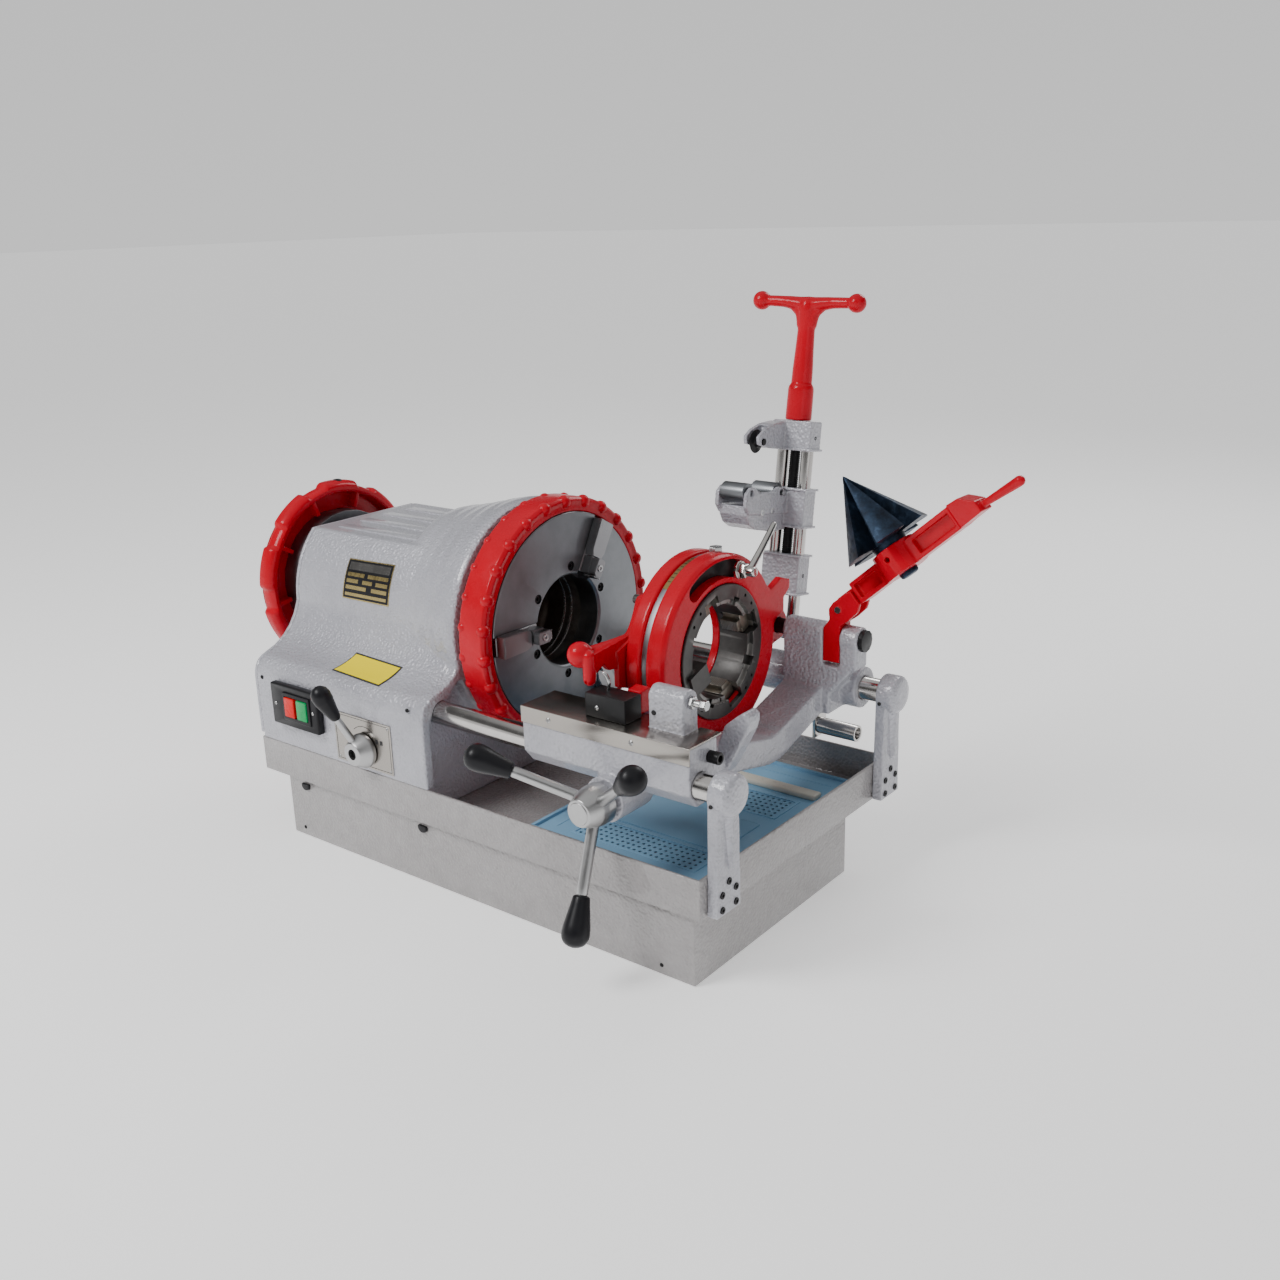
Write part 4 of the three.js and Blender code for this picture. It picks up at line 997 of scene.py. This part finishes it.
def make_screen():
    lowest, highest = low("drip_screen"), high("drip_screen")
    lip = 5
    inset = lip + 20  # the frame's inner edge
    x0, x1, y0, y1, z = lowest.x, highest.x, lowest.y, highest.y, lowest.z
    border = carved(block((x0, y0, z), (x1, y1, highest.z), 0.6),
                    block((x0 + lip, y0 + lip, z + 2.2), (x1 - lip, y1 - lip, z + 20)),
                    block((x0 + inset, y0 + inset, z - 3), (x1 - inset, y1 - inset, z + 20)))
    left, right = x0 + inset - 0.5, x1 - inset + 0.5
    front, back = y0 + inset - 0.5, y1 - inset + 0.5
    under, over = z + 0.4, z + 1.6  # the sheet's two faces
    patches = [(front, front + 46), (30, 84)]  # where the holes are, in Y
    west, east = 118, 292  # and in X
    sheets = []
    level = front
    for start, end in patches:
        if start > level:
            sheets.append(block((left, level, under), (right, start, over)))
        sheets.append(block((left, start, under), (west, end, over)))
        sheets.append(block((east, start, under), (right, end, over)))
        sheets.append(perforated_sheet(west, east, start, end, under, over, 8.0, 2.2))
        # a black sheet under each perforated patch, so the holes look dark: painted shade
        painted_shade_sheet = block((west, start, z + 0.02), (east, end, z + 0.3))
        piece(f"screen_painted_shade_{len(sheets)}", painted_shade_sheet, "black_plastic", "frame")
        sheets.append(carved(block((west - 6, start - 3, z + 1.2), (east + 6, end + 3, z + 2.8), 0.5),
                             block((west - 2, start + 0.6, z), (east + 2, end - 0.6, z + 6))))
        level = end
    sheets.append(block((left, level, under), (right, back, over)))
    sheets.append(block((west, -84, z + 1.2), (east, 4, z + 3.0), 1.4))
    skin("drip_screen", merged(border, *sheets), sharp=35)
    bar = block((172, 99, z + 1.4), (312, 117, z + 9), 2.5)
    piece("screen_bar", bar, "screen_enamel", "frame", material=CREAM)


def keel(x, y, z):
    """The wedge rib on a bracket's outer face, widest under the boss."""
    bm = bmesh.new()
    a, b, c, d, e = (bm.verts.new((x + dx, y + dy, z + dz)) for dx, dy, dz in (
        (0, -10, -14), (0, 10, -14), (0, 0, -90), (7, 0, -14), (5.5, 0, -82)))
    for corners in ((a, b, d), (b, c, e, d), (c, a, d, e), (a, c, b)):
        bm.faces.new(corners)
    bmesh.ops.recalc_face_normals(bm, faces=bm.faces)
    return bm


def make_rails():
    for node in ("rail_front", "rail_rear"):
        dress(node, 0.6)
    for side in ("front", "rear"):
        node = "rail_bracket_" + side
        rail = middle("rail_" + side)
        y, z, foot = rail.y, rail.z, low(node).z - rail.z
        boss = lathe("x", [(362, 0), (362, 24.2), (382.5, 24.4), (386.5, 20.5), (388.3, 12),
                           (388.5, 0)], (0, y, z), 80, soft=2.0)
        post = prism("x", [(-23, foot), (23, foot), (20, -8), (-20, -8)], 360.3, 374, (0, y, z))
        body = cast(merged(boss, post), 1.4, 3, 0.4)
        bore = turned("x", (330, 378.3), (0, RAIL_HOLE), (0, y, z), 48)
        skin(node, merged(carved(body, bore), keel(373.6, y, z)), sharp=50)
        places = [(-13, 116), (13, 116), (-13, 98), (13, 98), (0, 128)]
        for i, (dy, height) in enumerate(places):
            socket_screw(f"{node}_screw_{i + 1}", (375.4, y + dy, height), X, "frame", 4.2, 2.2,
                         BLACK_STEEL, "black_steel")
        pan_screw(f"{node}_grub", (368, y - 24.4, z - 8), -Y, "frame", 2.4, ENGRAVED)


# ---- carriage ------------------------------------------------------------------------------------


def make_carriage():
    skin("carriage_casting", cast(cad_copy("carriage_casting"), 1.7, 6, 0.45), sharp=55)
    dress("splash_cover", 0.5)
    cover = low("splash_cover")
    for i, x in enumerate((142, 262)):
        pan_screw(f"cover_rivet_{i + 1}", (x, cover.y - 0.1, 270), -Y, "carriage", 3.2)
    dress("latch_block", 1.0)
    screw_place = low("latch_block") + Vector((17, -0.1, 12))
    pan_screw("latch_block_screw", screw_place, -Y, "carriage", 2.8)
    hook = sweep([(202, -168, 305), (203, -169, 310), (205, -170, 318), (202, -170, 325), (198, -170, 328)],
                 [2.2] * 5, 16)
    piece("lever_hook", hook, "machined_steel", "carriage", material=SCREW_ZINC)
    dress("pivot_shaft", 0.8)
    dress("oil_tube_holder", 0.8)
    axis = (0, -162.5, 314)
    bolt = merged(lathe("x", [(311, 0), (311, 4.2), (330, 4.2), (331, 3.4), (331, 0)], axis, 40, soft=0.6),
                  turned("x", (312.2, 317.5), (0, 7.4), axis, 6, soft=0.8),
                  turned("x", (326, 334), (0, 6), axis, 6, soft=1.0))
    piece("latch_stop_bolt", bolt, "chrome_plate", "carriage", material=SCREW_ZINC)
    stub = lathe("x", [(330, 0), (330, 7), (352, 7), (352, 4), (344, 4), (344, 0)],
                 (0, -165, 258.5), 48, soft=0.6)
    piece("latch_bar_end", stub, "black_steel", "carriage")
    pin = turned("y", (-177, -175.5), (0, 3), (272, 0, 298), 24, soft=0.4)
    piece("lug_pin", pin, "black_steel", "carriage")


def make_feed():
    centre = pivot("feed_turn")
    hub = lathe("y", [(-222, 0), (-222, 24), (-234, 24), (-242, 22.4), (-259, 16), (-259, 0)],
                (centre.x, 0, centre.z), 80, soft=1.4)
    collar = lathe("y", [(-260.2, 0), (-260.2, 12.5), (-258.5, 13.5), (-258.5, 0)],
                   (centre.x, 0, centre.z), 64, soft=0.5)
    shaft = turned("y", (-223, -160), (0, 9), (centre.x, 0, centre.z), 48)
    rods = []
    for i in range(3):
        angle = math.radians(37 + 120 * i)
        outward = Vector((math.cos(angle), -0.49, math.sin(angle)))
        root = Vector((centre.x, -228, centre.z))
        rods.append(sweep([root + outward * 12, root + outward * 88], [7.0, 6.4], 32))
        grip = lathe("z", softened([(0, 0), (0, 9.2), (12, 11.2), (34, 15.3), (42, 16), (48, 15), (53, 11.6),
                                    (56, 6), (57, 0)], 3.0, 4), segments=64)
        turn = Z.rotation_difference(outward).to_matrix().to_4x4()
        skin(f"feed_grip_{i + 1}", moved(grip, Matrix.Translation(root + outward * 90) @ turn), sharp=60)
    skin("feed_hub", merged(hub, collar, shaft, *rods), sharp=35, material=BRUSHED)


# ---- die head ------------------------------------------------------------------------------------


def kidney(radius, half, start, end):
    """A curved slot with round ends, angles in degrees."""
    first, last = polar(radius, start), polar(radius, end)
    outer = arc((0, 0), radius + half, start, end, 32)
    inner = arc((0, 0), radius - half, end, start, 32)
    far_end = arc(last, half, end, end + 180, 8)[1:-1]
    near_end = arc(first, half, start + 180, start + 360, 8)[1:-1]
    return outer + far_end + inner + near_end


def make_die_head():
    centre = SPINDLE
    lift = SHAFT.z - SPINDLE.z
    shell = lathe("x", [(186, 102), (186, 116), (188.5, 118.5), (205, 118.5), (207, 116.5),
                        (207, 113.4), (215.5, 113.4), (215.5, 116.5), (217.5, 118.5), (236, 118.5),
                        (241, 114.5), (241, 83.2), (238, 83.2), (238, 72.4), (197, 72.4),
                        (197, 102)], centre, 192, soft=0.8)
    arm = prism("x", [(84, -48), (SHAFT.y, lift - 21), (SHAFT.y, lift + 21), (84, 60)], 202, 226, centre)
    hub = turned("x", (200, 227.5), (0, 21), (0, SHAFT.y, SHAFT.z), 64, soft=1.5)
    claw = prism("x", [(96, 62), (107, 52), (131, 62), (152, 55), (152, 44), (138, 34), (138, 16), (100, 8)],
                 232, 241, centre)
    foot = prism("x", [(-86, -60), (-136, -4), (-152, -6), (-154, -32.2), (-137, -32.2),
                       (-104, -72)], 216, 236, centre)
    body = cast(merged(shell, arm, hub, claw, foot), 1.3, 2, 0.5)
    slot_radius, slot_ends = 101, (64, 122)
    slot = prism("x", kidney(slot_radius, 11, *slot_ends), 222, 250, centre)
    pieces = [slot,
              turned("x", (204, 234), (0, 87), centre, 96),
              turned("x", (190, 245), (0, 72.3), centre, 120),
              turned("x", (190, 240), (0, 10.9), (0, SHAFT.y, SHAFT.z), 48)]
    skin("die_head_body", carved(body, *pieces), sharp=50)
    band = turned("x", (207.2, 215.3), (110, 114.6), centre, 160, soft=0.4)
    piece("scale_band", band, "machined_steel", "die_head")
    scale = prism("x", strip((0, 0), 115.3, 114, 96, 128), 208.2, 214.4, centre)
    marks = [round_spindle(block((209, 115, centre.z - 0.3), (213.6, 115.6, centre.z + 0.3)), 98 + 3.5 * k)
             for k in range(8)]
    piece("scale_strip", scale, "bronze", "die_head", material=SCALE_BRASS)
    piece("scale_marks", merged(*marks), "black_plastic", "die_head", material=ENGRAVED)
    # a black floor in the slot, so its inside looks dark: painted shade
    painted_shade_floor = prism("x", kidney(slot_radius, 10.6, *slot_ends), 222.4, 228, centre)
    piece("slot_painted_shade_floor", painted_shade_floor, "dark_steel", "die_head", material=BLACK_STEEL)
    make_core(centre)


def make_core(centre):
    ring = turned("x", (197.3, 239), (58, 71.7), centre, 128, soft=0.5)
    face = lathe("x", [(238.3, 63), (238.3, 82.5), (242.6, 82.5), (243.5, 81.5),
                       (243.5, 64)], centre, 128, soft=0.4)
    ring = carved(ring, face, operation="UNION")
    tools = [round_spindle(block((206, 40, centre.z - 13.5), (248, 74, centre.z + 13.5)), angle)
             for angle in CHASER_ANGLES]
    tools += [round_spindle(block((236, 50, centre.z - 6), (248, 68, centre.z + 6)), angle)
              for angle in (65, 155, 245, 335)]
    tools += [round_spindle(turned("x", (241, 250), (0, 2.2), centre + Y * 75.5, 20), angle)
              for angle in (38, 52, 128, 142, 218, 232, 308, 322)]
    skin("die_head_core", carved(ring, *tools), sharp=30)
    for i, angle in enumerate(CHASER_ANGLES):
        body = block((207, 57, centre.z - 13), (232, 78.3, centre.z + 13), 0.8)
        tip = block((207, 49.6, centre.z - 7), (232, 58, centre.z + 7), 0.5)
        teeth = [prism("x", [(49, -6.5), (50.5, -7), (50.5, 7), (49, 6.5)], 208 + 2.4 * k, 209.3 + 2.4 * k,
                       (0, 0, centre.z)) for k in range(10)]
        skin(f"chaser_{i + 1}", round_spindle(merged(body, tip, *teeth), angle), sharp=30)


def make_throw_lever():
    z = SPINDLE.z
    cam = turned("x", (185.2, 196.4), (58, 101), SPINDLE, 128, soft=0.8)
    knob = Vector((164, -170, 343))
    arm = sweep([knob, (166, -158, 343.5), (170, -136, 343.6), (174, -112, 343.5), (176, -94, 345),
                 (176, -80, 358), (176, -68, 382)], [5.4, 5.6, 6.0, 6.8, 7.6, 8.4, 8.8], 28)
    web = prism("x", [(-56, 62), (-82, 78), (-96, 38), (-128, 26), (-128, -18), (-98, -28),
                      (-74, 0)], 178, 186, (0, 0, z))
    blade = prism("x", [(-177, 8), (-174, 32), (-96, 38), (-122, 4), (-140, 6), (-150, 16),
                        (-164, 8)], 174, 182, (0, 0, z))
    rib = block((170, -104, z - 24), (186, -96, z + 34), 1.5)
    leg = sweep([(178, -171, z + 3.4), (178, -171, z + 30)], [7.4, 7.6], 28)
    body = cast(merged(cam, arm, web, blade, rib, leg, ball(knob, 15)), 1.1, 2, 0.5)
    hole = turned("y", (-190, -176), (0, 2.0), (178, 0, z + 2), 20)
    skin("cam_and_throw_lever", carved(body, hole), sharp=50)
    pin = turned("x", (158, 186), (0, 5.5), (0, -60, z + 68), 40, soft=0.8)
    piece("lever_pin", pin, "dark_steel", "throw_lever")


def make_clamp():
    y, z = pivot("clamp_turn").yz
    washer = turned("x", (241.4, 245.8), (0, 11), (0, y, z), 48, soft=0.6)
    nut = lathe("x", [(245.6, 0), (245.6, 9.4), (254, 9.4), (255.5, 8), (255.5, 0)], (0, y, z), 6, soft=0.8)
    stud = lathe("x", [(255, 0), (255, 6.2), (264.5, 6.2), (266.5, 4.8), (266.5, 0)], (0, y, z), 40, soft=0.8)
    rod = sweep([(257.5, y + 2, z + 2), (257.2, y + 28, z + 23), (257, y + 54, z + 46)], [4.8, 4.2, 3.7], 28)
    skin("clamp_lever", merged(washer, nut, stud, rod), sharp=35)
    spare = turned("z", (0, 7), (0, 8.5), (222, 16, SPINDLE.z + 116.8), 6, soft=0.8)
    piece("spare_nut", spare, "chrome_plate", "die_head", material=SCREW_ZINC)


# ---- cutter --------------------------------------------------------------------------------------

COLUMN = (200, 50)  # the screw's axis, before the cutter leans
RODS = (182, 218)


def leaned(bm):
    """Puts a shape made upright at the pivot in the cutter's leaning place."""
    return moved(bm, LEANING)


def column_plates(levels):
    """Thin flange plates at the ends of a cutter casting's column."""
    plates = []
    for z0 in levels:
        plate = block((170, 33.5, z0), (230.5, 66.5, z0 + 3.2), 1.2)
        holes = [turned("z", (z0 - 4, z0 + 8), (0, r), (x, COLUMN[1], 0), 32)
                 for x, r in ((RODS[0], 8.3), (RODS[1], 8.3), (COLUMN[0], 7.3))]
        plates.append(carved(plate, *holes))
    return merged(*plates)


def make_cutter():
    for node, levels in (("cutter_yoke", (84, 34)), ("roller_slider", (170, 122)), ("cutter_head", (221,))):
        skin(node, cast(cad_copy(node), 1.1, 4, 0.45), sharp=50)
        piece(node + "_plates", leaned(column_plates(levels)), "hammertone_paint", BODY_OF[node])
    for node, x in zip(("cutter_rod_left", "cutter_rod_right"), RODS):
        rod = turned("z", (-24, 259), (0, 8), (x, COLUMN[1], 0), 48, soft=0.8)
        skin(node, leaned(rod))
    wheel_place = (178, -11.5, 230)
    wheel = lathe("x", [(-13, 0), (-13, 4), (-6.5, 4), (-6.5, 6.5), (-1.8, 8), (-0.2, 15), (0.2, 15),
                        (1.8, 8), (6.5, 6.5), (6.5, 4), (13, 4), (13, 0)], wheel_place, 72, soft=0.3)
    skin("cutter_wheel", leaned(wheel))
    for i, y in enumerate((-47.5, 22.5)):
        roller = lathe("x", [(-21, 0), (-21, 4), (-17.5, 4), (-17.5, 11.3), (-16.6, 12), (16.6, 12),
                             (17.5, 11.3), (17.5, 4), (21, 4), (21, 0)], (178, y, 167), 64, soft=0.3)
        skin(f"cutter_roller_{i + 1}", leaned(roller))
    for i, (y, z) in enumerate([(-20, 142), (4, 144), (28, 166)]):
        place = LEANING @ Vector((202.2, y, z))
        socket_screw(f"slider_screw_{i + 1}", place, X, "slider", 4.2, 2.6)
    for i, (node, z) in enumerate((("cutter_head", 238), ("cutter_yoke", 60))):
        place = LEANING @ Vector((228.3, COLUMN[1], z))
        socket_screw(f"column_grub_{i + 1}", place, X, "cutter", 2.6, 1.6, BLACK_STEEL, "black_steel")
    make_screw()


def threaded(x, y, z0, z1, radius):
    """A screw with a square thread, as rings of a slowly turning profile."""
    sides, pitch = 24, 2.5
    bm = bmesh.new()
    steps = int((z1 - z0) / pitch * sides / 4)
    rings = []
    for s in range(steps + 1):
        z = z0 + (z1 - z0) * s / steps
        ring = []
        for k in range(sides):
            angle = 2 * math.pi * k / sides
            phase = ((z / pitch - angle / (2 * math.pi)) % 1.0)
            r = radius if phase < 0.5 else radius - 0.6
            ring.append(bm.verts.new((x + r * math.cos(angle), y + r * math.sin(angle), z)))
        rings.append(ring)
    walled(bm, rings)
    bm.faces.new(rings[-1])
    return bm


def make_screw():
    x, y = COLUMN
    top = 408  # centre of the T-handle's bar
    turn = Matrix.Translation((x, y, 0)) @ Matrix.Rotation(math.radians(6), 4, "Z")
    shank = lathe("z", softened([(259.4, 0), (259.4, 17), (300, 16.6), (304, 15), (305, 13.4),
                                 (322, 13.2), (345, 12), (372, 11), (388, 11.6), (398, 12.6),
                                 (406, 12), (412, 9), (413, 0)], 2.0, 4), (0, 0, 0), 56)
    bar = sweep([(-66, 0, top), (-34, 0, top - 0.5), (0, 0, top - 4), (34, 0, top - 0.5), (66, 0, top)],
                [6.6, 7.2, 10.8, 7.2, 6.6], 32)
    webs = []
    for side in (-1, 1):
        path = [(side * 20, 0, top - 6), (side * 9, 0, top - 14), (side * 4, 0, top - 28)]
        webs.append(sweep(path, [5.5, 8, 9.5], 24))
    handle = merged(shank, bar, *webs, ball((-66, 0, top), 12), ball((66, 0, top), 12))
    body = moved(cast(handle, 1.2, 4, 0.5), turn)
    skin("cutter_screw_handle", leaned(body), sharp=60)
    piece("cutter_screw_thread", leaned(threaded(x, y, 78, 262, 6.9)), "black_steel", "screw")


# ---- reamer --------------------------------------------------------------------------------------


def make_reamer():
    skin("reamer_link", cast(cad_copy("reamer_link"), 0.9, 3, 0.5), sharp=50)
    skin("reamer_arm", cast(cad_copy("reamer_arm"), 0.9, 4, 0.45), sharp=55)
    hinge = pivot("reamer_fold")
    place = Matrix.Translation(hinge) @ Matrix.Rotation(math.radians(-41), 4, "Y")
    pin = turned("y", (-15.4, 15.4), (0, 4.4), (0, 0, 0), 32, soft=0.6)
    piece("reamer_pin", moved(pin, Matrix.Translation(hinge)), "dark_steel", "link")
    blades, radius, height, base = 5, 55.5, 96, 30
    along = 104  # from the hinge to the cone's axis
    outline = []
    for k in range(blades):
        start = 360 / blades * k
        outline += arc((0, 0), radius, start, start + 40, 5)
        outline += [polar(radius * 0.42, start + a) for a in (46, 68)]
    bm = bmesh.new()
    shares = [(0.0, 1.0), (0.5, 0.5), (0.9, 0.1), (0.965, 0.045)]
    rings = [[bm.verts.new((along + x * s, y * s, base + height * t)) for x, y in outline]
             for t, s in shares]
    walled(bm, rings)
    tip = bm.verts.new((along, 0, base + height))
    for i in range(len(outline)):
        bm.faces.new((rings[-1][i], rings[-1][(i + 1) % len(outline)], tip))
    bmesh.ops.recalc_face_normals(bm, faces=bm.faces)
    neck = lathe("z", [(22.3, 0), (22.3, 21), (31, 22), (31, 0)], (along, 0, 0), 56, soft=0.6)
    shank = turned("z", (-13, 23), (0, 12), (along, 0, 0), 48)
    button = lathe("z", [(-18, 0), (-18, 10), (-16, 12), (-12.3, 12), (-12.3, 0)],
                   (along, 0, 0), 56, soft=1.2)
    cone = merged(bm, neck, shank, button)
    skin("reamer_cone", moved(cone, place), sharp=18)


# ---- all together --------------------------------------------------------------------------------

make_camera()
make_stage()
make_plates(make_headstock())
make_selector()
make_switch()
make_chuck()
for number, jaw_angle in enumerate(JAW_ANGLES):
    make_jaw(number + 1, jaw_angle)
make_hammer_ring()
make_rear_ring()
make_base()
make_rails()
make_carriage()
make_feed()
make_die_head()
make_throw_lever()
make_clamp()
make_cutter()
make_reamer()
